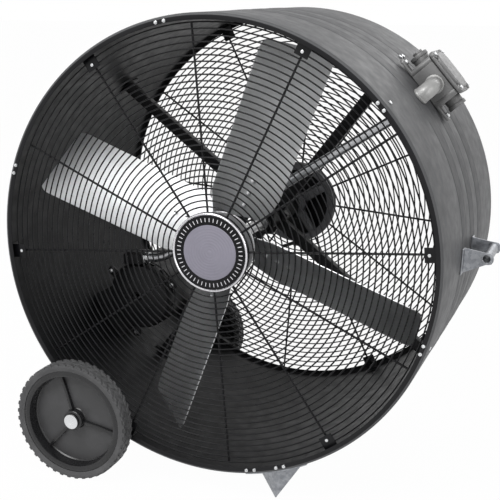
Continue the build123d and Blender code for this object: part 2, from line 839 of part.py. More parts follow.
# ---- Elbow: from the box's front face down to the hole in the drum --------------------
elbow_height = port_height
elbow_start = box_plane(elbow_height).from_local_coords((-box_width / 2, elbow_offset, 0))
elbow_frame = Plane(origin=elbow_start, x_dir=(0, -1, 0), z_dir=-box_plane(0).y_dir)
elbow_run = box_station - box_width / 2 - conduit_station
elbow_points = [(0, 0)]
for step in range(elbow_steps + 1):
    bend = radians(90 * step / elbow_steps)
    elbow_points.append((elbow_run - elbow_bend * (1 - sin(bend)), elbow_bend * (1 - cos(bend))))
elbow_points.append((elbow_run, elbow_height - seat_gap))
with BuildPart() as conduit_elbow:
    with BuildLine(elbow_frame) as elbow_path:
        Polyline(*elbow_points)
    with BuildSketch(Plane(origin=elbow_path.line @ 0, x_dir=box_plane(0).y_dir, z_dir=elbow_path.line % 0)):
        RegularPolygon(elbow_diameter / 2, elbow_sides)
    sweep(transition=Transition.RIGHT)
save(conduit_elbow.part, "conduit_elbow")

# ---- Axle, its two brackets and the wheels ---------------------------------------------
axle_center = around(axle_ring, axle_angle)
cap_face = -(wheel_gap + tyre_width) + cap_inset        # stations, before the rim face
axle_end = cap_face + cap_thickness
hub_front = axle_end + side_play
hub_rear = -wheel_gap - side_play


def axle_plane(distance):
    """Front-facing plane on the axle."""
    return Plane(
        origin=(axle_center.X, station(distance), axle_center.Z), x_dir=(1, 0, 0), z_dir=(0, -1, 0)
    )


with BuildPart() as axle:
    with BuildSketch(axle_plane(drum_depth - axle_end)):
        Circle(axle_diameter / 2)
    extrude(amount=drum_depth - 2 * axle_end)
save(axle.part, "axle")

spacer_front = hub_rear + side_play
with BuildPart() as axle_spacers:
    for far in (bracket_station, drum_depth - spacer_front):
        with BuildSketch(axle_plane(far)):
            RegularPolygon(spacer_diameter / 2, small_sides)
            RegularPolygon(axle_diameter / 2 + seat_gap, small_sides, major_radius=False, mode=Mode.SUBTRACT)
        extrude(amount=bracket_station - spacer_front)
save(axle_spacers.part, "axle_spacers")

with BuildPart() as axle_caps:
    for face in (axle_plane(axle_end), axle_plane(drum_depth - axle_end + cap_thickness)):
        with BuildSketch(face):
            RegularPolygon(cap_diameter / 2, small_sides)
        extrude(amount=cap_thickness)
save(axle_caps.part, "axle_caps")

bracket_saddle = wall_strip(
    axle_angle, bracket_saddle_turn, bracket_station, bracket_station + bracket_saddle_length
)
bracket_base = outside_seat + saddle_sheet / 3
with BuildPart() as axle_bracket_front:
    add(bracket_saddle)
    with BuildSketch(spoke_plane(station(bracket_station + bracket_sheet), axle_angle)):
        Polygon(
            (bracket_base, -bracket_half_width),
            (axle_ring, -bracket_eye_radius),
            (axle_ring, bracket_eye_radius),
            (bracket_base, bracket_half_width),
            align=None,
        )
        with Locations((axle_ring, 0)):
            RegularPolygon(bracket_eye_radius, small_sides)
            RegularPolygon(axle_diameter / 2 + seat_gap, small_sides, major_radius=False, mode=Mode.SUBTRACT)
    extrude(amount=bracket_sheet)
save(axle_bracket_front.part, "axle_bracket_front")
with BuildPart() as axle_bracket_rear:
    mirror(axle_bracket_front.part, about=Plane.XZ)
save(axle_bracket_rear.part, "axle_bracket_rear")

wheel_middle = -wheel_gap - tyre_width / 2
rim_front = wheel_middle - rim_width / 2
rim_rear = wheel_middle + rim_width / 2
tyre_bore = tyre_bore_diameter / 2


def wheel_plane(distance):
    """Front-facing plane on the axle, turned by half a flat of the wheel."""
    turn = radians(180 / wheel_sides)
    return Plane(origin=axle_plane(distance).origin, x_dir=(cos(turn), 0, sin(turn)), z_dir=(0, -1, 0))


tyre_plane = wheel_plane(wheel_middle)
with BuildPart() as front_tyre:
    path = polygon_path(tyre_plane, tyre_bore / cos(radians(180 / wheel_sides)), wheel_sides)
    with BuildSketch(across(path, tyre_plane)):
        Polygon(
            (0, -tyre_bead / 2),
            (tyre_side_diameter / 2 - tyre_bore, -tyre_width / 2),
            (wheel_diameter / 2 - tyre_bore, -tyre_tread / 2),
            (wheel_diameter / 2 - tyre_bore, tyre_tread / 2),
            (tyre_side_diameter / 2 - tyre_bore, tyre_width / 2),
            (0, tyre_bead / 2),
            align=None,
        )
    sweep(path=path, transition=Transition.RIGHT)
save(front_tyre.part, "front_tyre")
with BuildPart() as rear_tyre:
    mirror(front_tyre.part, about=Plane.XZ)
save(rear_tyre.part, "rear_tyre")

rib_middle = (wheel_hub_diameter / 2 + rim_opening_diameter / 2) / 2
with BuildPart() as front_wheel_disc:
    with BuildSketch(wheel_plane(rim_rear)):
        RegularPolygon(tyre_bore, wheel_sides, major_radius=False)
    extrude(amount=rim_width)
    with BuildSketch(wheel_plane(rim_rear - web_sheet)):
        RegularPolygon(rim_opening_diameter / 2, wheel_sides, major_radius=False)
    extrude(amount=rim_width, mode=Mode.SUBTRACT)
    with BuildSketch(wheel_plane(hub_rear)):
        RegularPolygon(wheel_hub_diameter / 2, small_sides)
    extrude(amount=hub_rear - hub_front)
    with BuildSketch(axle_plane(rim_rear - web_sheet)):
        with PolarLocations(rib_middle, wheel_rib_count, start_angle=wheel_rib_angle):
            Rectangle(rim_opening_diameter / 2 - wheel_hub_diameter / 2 + 4, wheel_rib_width)
    extrude(amount=wheel_rib_height)
    with BuildSketch(wheel_plane(hub_rear)):
        RegularPolygon(axle_diameter / 2 + axle_fit, middle_sides, major_radius=False)
    extrude(amount=hub_rear - hub_front, mode=Mode.SUBTRACT)
save(front_wheel_disc.part, "front_wheel_disc")
with BuildPart() as rear_wheel_disc:
    mirror(front_wheel_disc.part, about=Plane.XZ)
save(rear_wheel_disc.part, "rear_wheel_disc")

# ---- Feet: two sheet wings meet at a fold and taper to a small flat tip on the floor ------
foot_tip_center = Vector(drum_x + foot_tip_reach, station(foot_tip_station), 0)
fold_top, left_top, right_top = [
    around(saddle_outer, angle, station(distance))
    for angle, distance in (
        (foot_fold_angle, foot_fold_station),
        (foot_left_angle, foot_edge_station),
        (foot_right_angle, foot_edge_station),
    )
]
foot_saddle = wall_strip(
    foot_saddle_angle,
    foot_saddle_turn,
    foot_saddle_station - foot_saddle_length / 2,
    foot_saddle_station + foot_saddle_length / 2,
)
with BuildPart() as front_foot:
    add(foot_saddle)
    for near, far in ((left_top, fold_top), (fold_top, right_top)):
        inward = (near - foot_tip_center).cross(far - near)
        wing = Plane(origin=foot_tip_center, x_dir=far - near, z_dir=inward)
        ends = [wing.to_local_coords(corner) for corner in (near, far)]
        with BuildSketch(wing):
            Polygon(
                (foot_tip_share * ends[0].X, foot_tip_share * ends[0].Y),
                (ends[0].X, ends[0].Y),
                (ends[1].X, ends[1].Y),
                (foot_tip_share * ends[1].X, foot_tip_share * ends[1].Y),
                align=None,
            )
        extrude(amount=foot_sheet)
    with BuildSketch():
        with Locations((foot_tip_center.X, foot_tip_center.Y)):
            Rectangle(foot_tip_width, foot_tip_depth)
    extrude(amount=foot_tip_height)
save(front_foot.part, "front_foot")
with BuildPart() as rear_foot:
    mirror(front_foot.part, about=Plane.XZ)
save(rear_foot.part, "rear_foot")

# ---- Carry handle: two tapered ears with a tube welded between them ------------------------
eye = around(handle_ring, handle_angle)
ear_ring = outside_seat + saddle_sheet / 2


def base_corner(side):
    """Corner of an ear where it leaves its flange, in the front-facing plane."""
    turn = radians(handle_base_angle) + side * handle_base_width / 2 / drum_radius
    return (ear_ring * cos(turn), ear_ring * sin(turn))


base_turn = degrees(handle_base_width / drum_radius)
eye_x, eye_y = eye.X - drum_x, eye.Z - axis_height


def handle_ear(front_side, flange_from):
    flange = wall_strip(handle_base_angle, base_turn, flange_from, flange_from + handle_flange)
    with BuildPart() as ear:
        add(flange)
        with BuildSketch(facing_front(station(front_side + handle_sheet))):
            Polygon(
                base_corner(-1),
                (eye_x, eye_y - handle_eye_radius),
                (eye_x, eye_y + handle_eye_radius),
                base_corner(1),
                align=None,
            )
            with Locations((eye_x, eye_y)):
                RegularPolygon(handle_eye_radius, small_sides)
        extrude(amount=handle_sheet)
    return ear


handle_rear_side = handle_station + handle_span - handle_sheet
save(handle_ear(handle_station, handle_station - handle_flange + handle_sheet).part, "handle_ear_front")
save(handle_ear(handle_rear_side, handle_rear_side).part, "handle_ear_rear")

with BuildPart() as handle_tube:
    with BuildSketch(
        Plane(origin=(eye.X, station(handle_rear_side), eye.Z), x_dir=(1, 0, 0), z_dir=(0, -1, 0))
    ):
        RegularPolygon(handle_tube_diameter / 2, handle_tube_sides)
        RegularPolygon(handle_tube_diameter / 2 - handle_tube_wall, handle_tube_sides, mode=Mode.SUBTRACT)
    extrude(amount=handle_rear_side - handle_station - handle_sheet)
save(handle_tube.part, "handle_tube")
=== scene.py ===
"""Looks for the portable drum fan.

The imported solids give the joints' places and the front and rear faces of most pieces; this
script models the visible pieces round them. Lengths are written in millimetres and turned into
metres where a piece is drawn. "Angle" means: about the fan's axis, seen from the front,
anticlockwise from +X. A profile is a list of (radius, y) points, spun about an axis along Y.
"""
import json
from math import asin, atan2, copysign, cos, degrees, pi, radians, sin, sqrt

import bpy
from mathutils import Matrix, Vector


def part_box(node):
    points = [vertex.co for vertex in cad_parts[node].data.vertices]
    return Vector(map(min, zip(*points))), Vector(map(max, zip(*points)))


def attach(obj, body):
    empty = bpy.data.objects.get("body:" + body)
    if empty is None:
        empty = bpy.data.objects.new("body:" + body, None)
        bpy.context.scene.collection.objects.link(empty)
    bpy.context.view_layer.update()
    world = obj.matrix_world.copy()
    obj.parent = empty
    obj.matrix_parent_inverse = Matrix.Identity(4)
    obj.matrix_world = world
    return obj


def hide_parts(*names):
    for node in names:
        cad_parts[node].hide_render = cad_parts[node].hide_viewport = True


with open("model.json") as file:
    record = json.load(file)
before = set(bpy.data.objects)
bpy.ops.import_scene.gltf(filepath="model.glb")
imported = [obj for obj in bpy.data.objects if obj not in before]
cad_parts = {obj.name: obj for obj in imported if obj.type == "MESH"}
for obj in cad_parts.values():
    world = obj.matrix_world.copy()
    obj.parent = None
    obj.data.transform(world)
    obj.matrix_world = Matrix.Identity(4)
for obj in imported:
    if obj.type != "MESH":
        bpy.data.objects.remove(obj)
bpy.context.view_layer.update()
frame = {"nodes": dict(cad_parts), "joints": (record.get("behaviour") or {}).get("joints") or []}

mm = 0.001
forward = (0, -1, 0)


def ends(node):
    """Front and rear Y of a CAD node, in millimetres."""
    low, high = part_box(node)
    return low.y / mm, high.y / mm


# ---- Places taken from the frame ----
joint_places = {joint["name"]: [value / mm for value in joint["pos_m"]] for joint in frame["joints"]}
fan_x, _, fan_z = joint_places["fan_spin"]
motor_x, _, motor_z = joint_places["motor_spin"]
wheel_x, _, wheel_z = joint_places["front_wheel_spin"]
fan_center = (fan_x, fan_z)
motor_center = (motor_x, motor_z)
wheel_center = (wheel_x, wheel_z)
rim_front = ends("drum_shell")[0]                    # front face of the drum's rim

# ---- Sizes shared by several pieces ----
drum_radius = 482.5
drum_sheet = 1.6
drum_inner = drum_radius - drum_sheet
lip_radius = 468.5
rim_round = 5.0
ring_wire = 3.2
ring_pitch = 12.7
ring_count = 31
guard_radius = 463.9
guard_y = rim_front + 18.0                           # plane where rings meet spokes
spoke_angle = 4.6                                    # of the first spoke and the first lug
strut_angle = 52
housing_middle = rim_front + 400.0                   # Y of the struts and the bearing block


def place(radius, angle, y=0.0, center=fan_center):
    """Point at a radius and angle about an axis, in millimetres."""
    turn = radians(angle)
    return (center[0] + radius * cos(turn), y, center[1] + radius * sin(turn))


def outward_at(angle):
    """Direction away from an axis along Y, at an angle."""
    return Vector((cos(radians(angle)), 0, sin(radians(angle))))


def station(distance):
    """Y of a place this far behind the front rim face."""
    return rim_front + distance


def behind(y, *points):
    """Profile from points that give a radius and a distance behind y."""
    return [(radius, y + distance) for radius, distance in points]


# ---- Modelling helpers ----
def clear_selection():
    if bpy.context.object and bpy.context.object.mode != "OBJECT":
        bpy.ops.object.mode_set(mode="OBJECT")
    bpy.ops.object.select_all(action="DESELECT")


def only(piece):
    clear_selection()
    piece.select_set(True)
    bpy.context.view_layer.objects.active = piece


def edit_all():
    """Open the active piece's mesh with all of it selected."""
    bpy.ops.object.mode_set(mode="EDIT")
    bpy.ops.mesh.select_all(action="SELECT")


def into_edit(piece):
    only(piece)
    edit_all()


def out_of_edit():
    bpy.ops.object.mode_set(mode="OBJECT")


def begin(add, name, **options):
    """A new primitive alone, left in edit mode with all of it selected."""
    clear_selection()
    add(**options)
    bpy.context.object.name = name
    edit_all()
    return bpy.context.object


def draw_line(name, points):
    """One vertex extruded from point to point (mm) in a new mesh, left in edit mode."""
    piece = begin(bpy.ops.mesh.primitive_plane_add, name, size=0.001, location=(0, 0, 0))
    bpy.ops.mesh.merge(type="CENTER")
    bpy.ops.transform.translate(value=Vector(points[0]) * mm)
    for here, there in zip(points, points[1:]):
        step = (Vector(there) - Vector(here)) * mm
        bpy.ops.mesh.extrude_region_move(TRANSFORM_OT_translate={"value": step})
    return piece


def tidy_mesh():
    """Merge doubles and turn the faces outwards, then leave edit mode."""
    bpy.ops.mesh.select_all(action="SELECT")
    bpy.ops.mesh.remove_doubles(threshold=0.000005)
    bpy.ops.mesh.normals_make_consistent(inside=False)
    out_of_edit()


def flip_faces(piece):
    into_edit(piece)
    bpy.ops.mesh.flip_normals()
    out_of_edit()


def smooth(piece, angle=35):
    only(piece)
    bpy.ops.object.shade_smooth_by_angle(angle=radians(angle))
    return piece


def soften(piece, width, segments=2, angle=30):
    """Round the sharp edges of a finished piece."""
    only(piece)
    bevel = piece.modifiers.new("rounded edges", "BEVEL")
    bevel.width = width * mm
    bevel.segments = segments
    bevel.limit_method = "ANGLE"
    bevel.angle_limit = radians(angle)
    bpy.ops.object.modifier_apply(modifier=bevel.name)
    return smooth(piece)


def spin(steps, center):
    bpy.ops.mesh.spin(
        steps=steps, angle=2 * pi, center=(center[0] * mm, 0, center[1] * mm), axis=(0, 1, 0)
    )


def turned(name, profile, center=fan_center, steps=96):
    """Profile closed and spun about an axis along Y."""
    piece = draw_line(name, [(center[0] + radius, y, center[1]) for radius, y in profile + profile[:1]])
    bpy.ops.mesh.select_all(action="SELECT")
    spin(steps, center)
    tidy_mesh()
    return smooth(piece)


def sheet(name, outline, thickness):
    """Flat plate: an outline of points (mm) filled, then extruded by a vector (mm)."""
    piece = draw_line(name, outline)
    bpy.ops.mesh.select_all(action="SELECT")
    bpy.ops.mesh.edge_face_add()
    bpy.ops.mesh.extrude_region_move(TRANSFORM_OT_translate={"value": Vector(thickness) * mm})
    tidy_mesh()
    return piece


def tube(name, points, radius, sides, bend=0.0):
    """Round rod along points (mm); `bend` is how far from a corner its curve begins."""
    piece = draw_line(name, points)
    if bend:
        bpy.ops.mesh.select_all(action="SELECT")
        bpy.ops.mesh.bevel(offset=bend * mm, segments=10, affect="VERTICES")
    only(piece)
    bpy.ops.object.convert(target="CURVE")
    piece = bpy.context.object
    piece.data.bevel_depth = radius * mm
    piece.data.bevel_resolution = sides // 4 - 1
    piece.data.use_fill_caps = True
    bpy.ops.object.convert(target="MESH")
    piece = bpy.context.object
    into_edit(piece)
    tidy_mesh()
    return smooth(piece, 40)


def block(name, size, middle, turn, round_by, segments=2):
    """Box with rounded edges, turned about Y by an angle as the front sees it."""
    piece = begin(bpy.ops.mesh.primitive_cube_add, name, size=1, location=(0, 0, 0))
    bpy.ops.transform.resize(value=Vector(size) * mm)
    out_of_edit()
    piece.data.transform(Matrix.Translation(Vector(middle) * mm) @ Matrix.Rotation(-radians(turn), 4, "Y"))
    return soften(piece, round_by, segments)


def stud(name, radius, height, base, direction, sides=6, round_by=0.6):
    """Screw head, bolt head or boss: a prism raised from a point (mm), with rounded edges."""
    piece = begin(bpy.ops.mesh.primitive_cylinder_add, name, vertices=sides, radius=radius * mm, depth=height * mm)
    bpy.ops.transform.translate(value=(0, 0, height / 2 * mm))
    out_of_edit()
    lean = Vector(direction).normalized().to_track_quat("Z", "Y").to_matrix().to_4x4()
    piece.data.transform(Matrix.Translation(Vector(base) * mm) @ lean)
    return soften(piece, round_by, 2, 25)


def copy_of(piece, name, matrix):
    twin = piece.copy()
    twin.data = piece.data.copy()
    twin.name = name
    bpy.context.scene.collection.objects.link(twin)
    twin.data.transform(matrix)
    return twin


def join(pieces, name):
    clear_selection()
    for piece in pieces:
        piece.select_set(True)
    bpy.context.view_layer.objects.active = pieces[0]
    if len(pieces) > 1:
        bpy.ops.object.join()
    pieces[0].name = name
    return pieces[0]


def turn_about(angle, center=fan_center):
    """Matrix that turns about an axis along Y, anticlockwise as the front sees it."""
    pivot = Vector((center[0] * mm, 0, center[1] * mm))
    return Matrix.Translation(pivot) @ Matrix.Rotation(-radians(angle), 4, "Y") @ Matrix.Translation(-pivot)


def around_axis(piece, name, count, center=fan_center, start=0.0):
    """The same piece repeated evenly round an axis, joined into one."""
    step = 360 / count
    copies = [
        copy_of(piece, f"{name}_{number}", turn_about(start + number * step, center)) for number in range(count)
    ]
    bpy.data.objects.remove(piece)
    return join(copies, name)


half_turn = (
    Matrix.Translation((fan_x * mm, 0, 0)) @ Matrix.Rotation(pi, 4, "Z") @ Matrix.Translation((-fan_x * mm, 0, 0))
)


def rear_twin(piece, name):
    """Mirror image at the rear of the drum, with its faces turned outwards again."""
    twin = copy_of(piece, name, Matrix.Scale(-1, 4, (0, 1, 0)))
    flip_faces(twin)
    return twin


def softened(node, width, segments=2):
    """Copy of a CAD node with its flat faces merged and its edges rounded."""
    clear_selection()
    piece = bpy.data.objects.new(f"{node}_finished", frame["nodes"][node].data.copy())
    bpy.context.scene.collection.objects.link(piece)
    piece.data.materials.clear()
    into_edit(piece)
    bpy.ops.mesh.remove_doubles(threshold=0.00001)
    bpy.ops.mesh.dissolve_limited(angle_limit=radians(1.5))
    out_of_edit()
    return soften(piece, width, segments)


def cut(piece, cutter):
    """Take one solid out of another."""
    only(piece)
    boolean = piece.modifiers.new("cut", "BOOLEAN")
    boolean.operation = "DIFFERENCE"
    boolean.solver = "EXACT"
    boolean.object = cutter
    bpy.ops.object.modifier_apply(modifier=boolean.name)
    bpy.data.objects.remove(cutter)
    return piece


def bore(piece, radius, front, rear, center, steps):
    """Cut a round hole along Y, from one place to another."""
    return cut(piece, turned("bore_cutter", [(0, front), (radius, front), (radius, rear), (0, rear)], center, steps))


def dress(piece, body, slot, material, *nodes):
    """Finish a piece: its material, the body it rides on and the nodes it stands for; the slot is not used."""
    piece.data.materials.clear()
    piece.data.materials.append(material)
    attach(piece, body)
    if nodes:
        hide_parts(*nodes)
    return piece


def dress_ends(pieces, body, slot, material, *nodes):
    """Finish a front piece and its rear twin; {} in a name stands for front or rear."""
    for end, piece in zip(("front", "rear"), pieces):
        dress(piece, body.format(end), slot, material, *(node.format(end) for node in nodes))


# ---- Materials ----
def set_inputs(node, **values):
    """Set a shader node's inputs; an underscore in a keyword stands for a space."""
    for name, value in values.items():
        node.inputs[name.replace("_", " ")].default_value = value


def add_node(tree, kind, **values):
    node = tree.nodes.new(f"ShaderNode{kind}")
    set_inputs(node, **values)
    return node


class Finish:
    """Procedural material with one shader, noises in the object's own coordinates."""

    def __init__(self, name, color, roughness, metallic=0.0, specular=0.5):
        self.material = bpy.data.materials.new(name)
        self.material.use_nodes = True
        self.tree = self.material.node_tree
        self.shader = self.tree.nodes["Principled BSDF"]
        set_inputs(
            self.shader, Base_Color=(*color, 1), Roughness=roughness, Metallic=metallic, Specular_IOR_Level=specular
        )
        self.color = color
        self.where = add_node(self.tree, "TexCoord").outputs["Object"]

    def noise(self, scale, detail, stretch=(1, 1, 1)):
        mapping = add_node(self.tree, "Mapping", Scale=stretch)
        self.tree.links.new(self.where, mapping.inputs["Vector"])
        noise = add_node(self.tree, "TexNoise", Scale=scale, Detail=detail, Roughness=0.55)
        self.tree.links.new(mapping.outputs["Vector"], noise.inputs["Vector"])
        return noise.outputs["Fac"]

    def cells(self, scale):
        voronoi = add_node(self.tree, "TexVoronoi", Scale=scale)
        self.tree.links.new(self.where, voronoi.inputs["Vector"])
        spread = add_node(self.tree, "SeparateColor")
        self.tree.links.new(voronoi.outputs["Color"], spread.inputs["Color"])
        return spread.outputs["Red"]

    def ramp(self, value, low, high, start, stop):
        """Remap a value so that `start` gives `low` and `stop` gives `high`."""
        mapped = add_node(self.tree, "MapRange", From_Min=start, From_Max=stop, To_Min=low, To_Max=high)
        self.tree.links.new(value, mapped.inputs["Value"])
        return mapped.outputs["Result"]

    def shade(self, value, other, start, stop, amount=1.0):
        """Drift from the present colour towards another where the value is high."""
        mix = add_node(self.tree, "Mix")
        mix.data_type = "RGBA"
        self.tree.links.new(self.ramp(value, 0.0, amount, start, stop), mix.inputs["Factor"])
        socket = self.shader.inputs["Base Color"]
        if socket.links:
            self.tree.links.new(socket.links[0].from_socket, mix.inputs[6])
        else:
            mix.inputs[6].default_value = (*self.color, 1)
        mix.inputs[7].default_value = (*other, 1)
        self.tree.links.new(mix.outputs[2], socket)
        return self

    def gloss(self, value, low, high, start=0.3, stop=0.7):
        self.tree.links.new(self.ramp(value, low, high, start, stop), self.shader.inputs["Roughness"])
        return self

    def bumps(self, value, strength, depth):
        bump = add_node(self.tree, "Bump", Strength=strength, Distance=depth * mm)
        self.tree.links.new(value, bump.inputs["Height"])
        socket = self.shader.inputs["Normal"]
        if socket.links:
            self.tree.links.new(socket.links[0].from_socket, bump.inputs["Normal"])
        self.tree.links.new(bump.outputs["Normal"], socket)
        return self

    def worn_edges(self, other, amount):
        """Lighter rub marks where the surface is convex and a noise allows them."""
        geometry = add_node(self.tree, "NewGeometry")
        edge = self.ramp(geometry.outputs["Pointiness"], 0.0, 1.0, 0.53, 0.60)
        patchy = self.ramp(self.noise(90, 5), 0.0, 1.0, 0.5, 0.65)
        both = add_node(self.tree, "Math")
        both.operation = "MULTIPLY"
        self.tree.links.new(edge, both.inputs[0])
        self.tree.links.new(patchy, both.inputs[1])
        return self.shade(both.outputs[0], other, 0.0, 1.0, amount)


def tinted(color, factor, lift=0.0):
    """A colour made lighter or darker."""
    return tuple(min(1, channel * factor + lift) for channel in color)


def painted(name, color, roughness, mottle=0.12, peel=0.15, specular=0.5):
    """Sprayed paint on steel: slight cloudiness, orange peel and uneven gloss."""
    finish = Finish(name, color, roughness, specular=specular)
    finish.shade(finish.noise(7, 3), tinted(color, 1 + 2 * mottle, 0.004), 0.40, 0.70)
    finish.gloss(finish.noise(40, 5), roughness - 0.07, roughness + 0.10)
    return finish.bumps(finish.noise(700, 2), peel, 0.25)


def bare_metal(name, color, roughness, stretch=(1, 1, 1), grain=0.12, metallic=1.0):
    """Bare or plated metal: drawn or rolled grain and cloudy handling marks."""
    finish = Finish(name, color, roughness, metallic=metallic)
    finish.shade(finish.noise(9, 5), tinted(color, 0.72), 0.45, 0.75, 0.7)
    finish.gloss(finish.noise(260, 3, stretch), roughness - 0.08, roughness + 0.12)
    return finish.bumps(finish.noise(420, 3, stretch), grain, 0.15)


def galvanised_finish():
    """Zinc-dipped sheet: crystal cells that differ in tone and gloss."""
    finish = Finish("galvanised_sheet", (0.31, 0.32, 0.34), 0.30, metallic=0.75)
    finish.shade(finish.cells(150), (0.20, 0.21, 0.23), 0.2, 0.9, 0.8)
    finish.shade(finish.noise(40, 6), (0.50, 0.52, 0.55), 0.50, 0.70, 0.6)
    finish.gloss(finish.cells(160), 0.28, 0.48, 0.0, 1.0)
    return finish.bumps(finish.noise(300, 3), 0.10, 0.15)


def cast_finish(name, color, roughness):
    """Sand or die cast aluminium: grainy skin with darker cloudy patches."""
    finish = Finish(name, color, roughness, metallic=0.55)
    finish.shade(finish.noise(30, 6), tinted(color, 0.66), 0.45, 0.70, 0.8)
    finish.gloss(finish.noise(120, 4), roughness - 0.08, roughness + 0.1)
    finish.bumps(finish.noise(520, 4), 0.45, 0.35)
    return finish.bumps(finish.noise(60, 3), 0.15, 0.5)


def moulded(name, color, roughness, grain=0.2, specular=0.4):
    """Moulded plastic or rubber with a fine matt grain."""
    finish = Finish(name, color, roughness, specular=specular)
    finish.shade(finish.noise(20, 5), tinted(color, 1.5, 0.004), 0.45, 0.75, 0.6)
    finish.gloss(finish.noise(70, 4), roughness - 0.06, roughness + 0.08)
    return finish.bumps(finish.noise(900, 2), grain, 0.2)


drum_gray = painted("drum_gray_paint", (0.069, 0.070, 0.073), 0.54, mottle=0.02, specular=0.35)
drum_gray = drum_gray.worn_edges((0.26, 0.26, 0.26), 0.4).material
# Near-black paint for the drum's inside wall and turned-in lips: painted shade for the shadow that falls inside the
# drum.
drum_painted_shade = painted("drum_inside_painted_shade", (0.004, 0.004, 0.005), 0.46, specular=0.25).material
guard_black = painted("guard_black_coat", (0.004, 0.004, 0.005), 0.32, peel=0.08, specular=0.22).material
frame_black = painted("frame_black_paint", (0.010, 0.010, 0.011), 0.42, specular=0.15)
frame_black = frame_black.worn_edges((0.09, 0.09, 0.09), 0.5).material
motor_black = painted("motor_black_paint", (0.009, 0.009, 0.010), 0.40, specular=0.18)
motor_black = motor_black.worn_edges((0.08, 0.08, 0.08), 0.4).material
blade_metal = bare_metal("blade_rolled_metal", (0.82, 0.83, 0.84), 0.45, stretch=(1, 12, 12)).material
hub_metal = bare_metal("hub_plated_steel", (0.66, 0.66, 0.67), 0.35, metallic=0.6).material
steel = bare_metal("turned_steel", (0.55, 0.55, 0.56), 0.30, stretch=(1, 10, 1)).material
zinc = bare_metal("bright_zinc", (0.78, 0.79, 0.80), 0.27).material
pulley_gray = bare_metal("cast_pulley_gray", (0.20, 0.20, 0.21), 0.45, metallic=0.6, grain=0.3).material
cast_black = painted("bearing_cast_black", (0.010, 0.010, 0.011), 0.40, peel=0.5, specular=0.2).material
galvanised = galvanised_finish().material
conduit_gray = bare_metal("conduit_zinc", (0.62, 0.63, 0.65), 0.34).material
box_metal = cast_finish("box_cast_aluminium", (0.195, 0.195, 0.195), 0.50).material
elbow_metal = cast_finish("elbow_cast_aluminium", (0.36, 0.36, 0.355), 0.42).material
belt_rubber = moulded("belt_rubber", (0.018, 0.018, 0.018), 0.62).material
gasket_rubber = moulded("gasket_rubber", (0.022, 0.022, 0.022), 0.70).material
wheel_plastic = moulded("wheel_gloss_plastic", (0.010, 0.010, 0.011), 0.27, 0.15, specular=0.5).material
wheel_web_plastic = moulded("wheel_web_plastic", (0.056, 0.056, 0.058), 0.42, 0.9).material
tyre_rubber = moulded("tyre_rubber", (0.072, 0.072, 0.074), 0.60, 0.35).material
badge_silver = bare_metal("badge_silver_ring", (0.74, 0.73, 0.76), 0.22).material
badge_black = moulded("badge_black_band", (0.006, 0.006, 0.007), 0.34, 0.1, specular=0.15).material
badge_face = bare_metal("badge_lavender_silver", (0.25, 0.24, 0.29), 0.42, metallic=0.35).material

# ---- Drum: rolled sheet, rims turned in, lines rolled round the wall ----
# Each line's distance behind the rim's front face, its rise and its half width.
rolled_lines = [(206, -1.3, 4), (256, 0.8, 7), (304, -1.3, 4), (352, 0.8, 7), (404, -1.3, 4), (453, 0.8, 7)]


def rim_corner(size, count):
    """Quarter round from the rim's front face to the wall."""
    turns = [radians(90 / count * number) for number in range(count + 1)]
    return [(drum_radius - rim_round + size * sin(turn), rim_front + rim_round - size * cos(turn)) for turn in turns]


def drum_profile():
    front = behind(rim_front, (lip_radius, drum_sheet), (lip_radius, 0.4), (lip_radius + 0.6, 0))
    front += rim_corner(rim_round, 6)
    wall = []
    for distance, rise, half in rolled_lines:
        for step in range(-3, 4):
            wall.append((drum_radius + rise * cos(step * pi / 6) ** 2, station(distance) + half * step / 3))
    rear = [(radius, -y) for radius, y in reversed(front)]
    inside = rim_corner(rim_round - drum_sheet, 3)
    return front + wall + rear + [(radius, -y) for radius, y in inside] + inside[::-1]


drum = turned("drum_sheet", drum_profile(), steps=192)
dress(drum, "drum", "drum_paint", drum_gray, "drum_shell")
drum.data.materials.append(drum_painted_shade)
# The lips and the inside wall take the near-black paint, as painted shade where the drum shades its own inside.
for face in drum.data.polygons:
    from_axis = face.center - Vector((fan_x * mm, face.center.y, fan_z * mm))
    radius = from_axis.length / mm
    on_lip = radius < drum_radius - rim_round + 0.2
    inside_wall = radius < drum_inner + 0.3 and face.normal.dot(from_axis) < 0
    if on_lip or inside_wall:
        face.material_index = 1


# ---- Wire guards ----
def guard_rings(name):
    """A guard's round wires: a small circle spun for each, all in one mesh."""
    y = (guard_y - ring_wire / 2 + 0.2) * mm
    for number in range(ring_count):
        radius = guard_radius - number * ring_pitch
        circle = dict(vertices=8, radius=ring_wire / 2 * mm, location=((fan_x + radius) * mm, y, fan_z * mm))
        if number == 0:
            piece = begin(bpy.ops.mesh.primitive_circle_add, name, **circle)
        else:
            bpy.ops.mesh.select_all(action="DESELECT")
            bpy.ops.mesh.primitive_circle_add(**circle)
        spin(max(48, 12 * round(radius / 40)), fan_center)
    tidy_mesh()
    only(piece)
    bpy.ops.object.transform_apply(location=True, rotation=True, scale=True)
    return smooth(piece, 60)


rings = guard_rings("front_guard_wires")
dress(rings, "drum", "guard_black", guard_black, "front_guard_rings")
rear_rings = copy_of(rings, "rear_guard_wires", half_turn)
dress(rear_rings, "drum", "guard_black", guard_black, "rear_guard_rings")

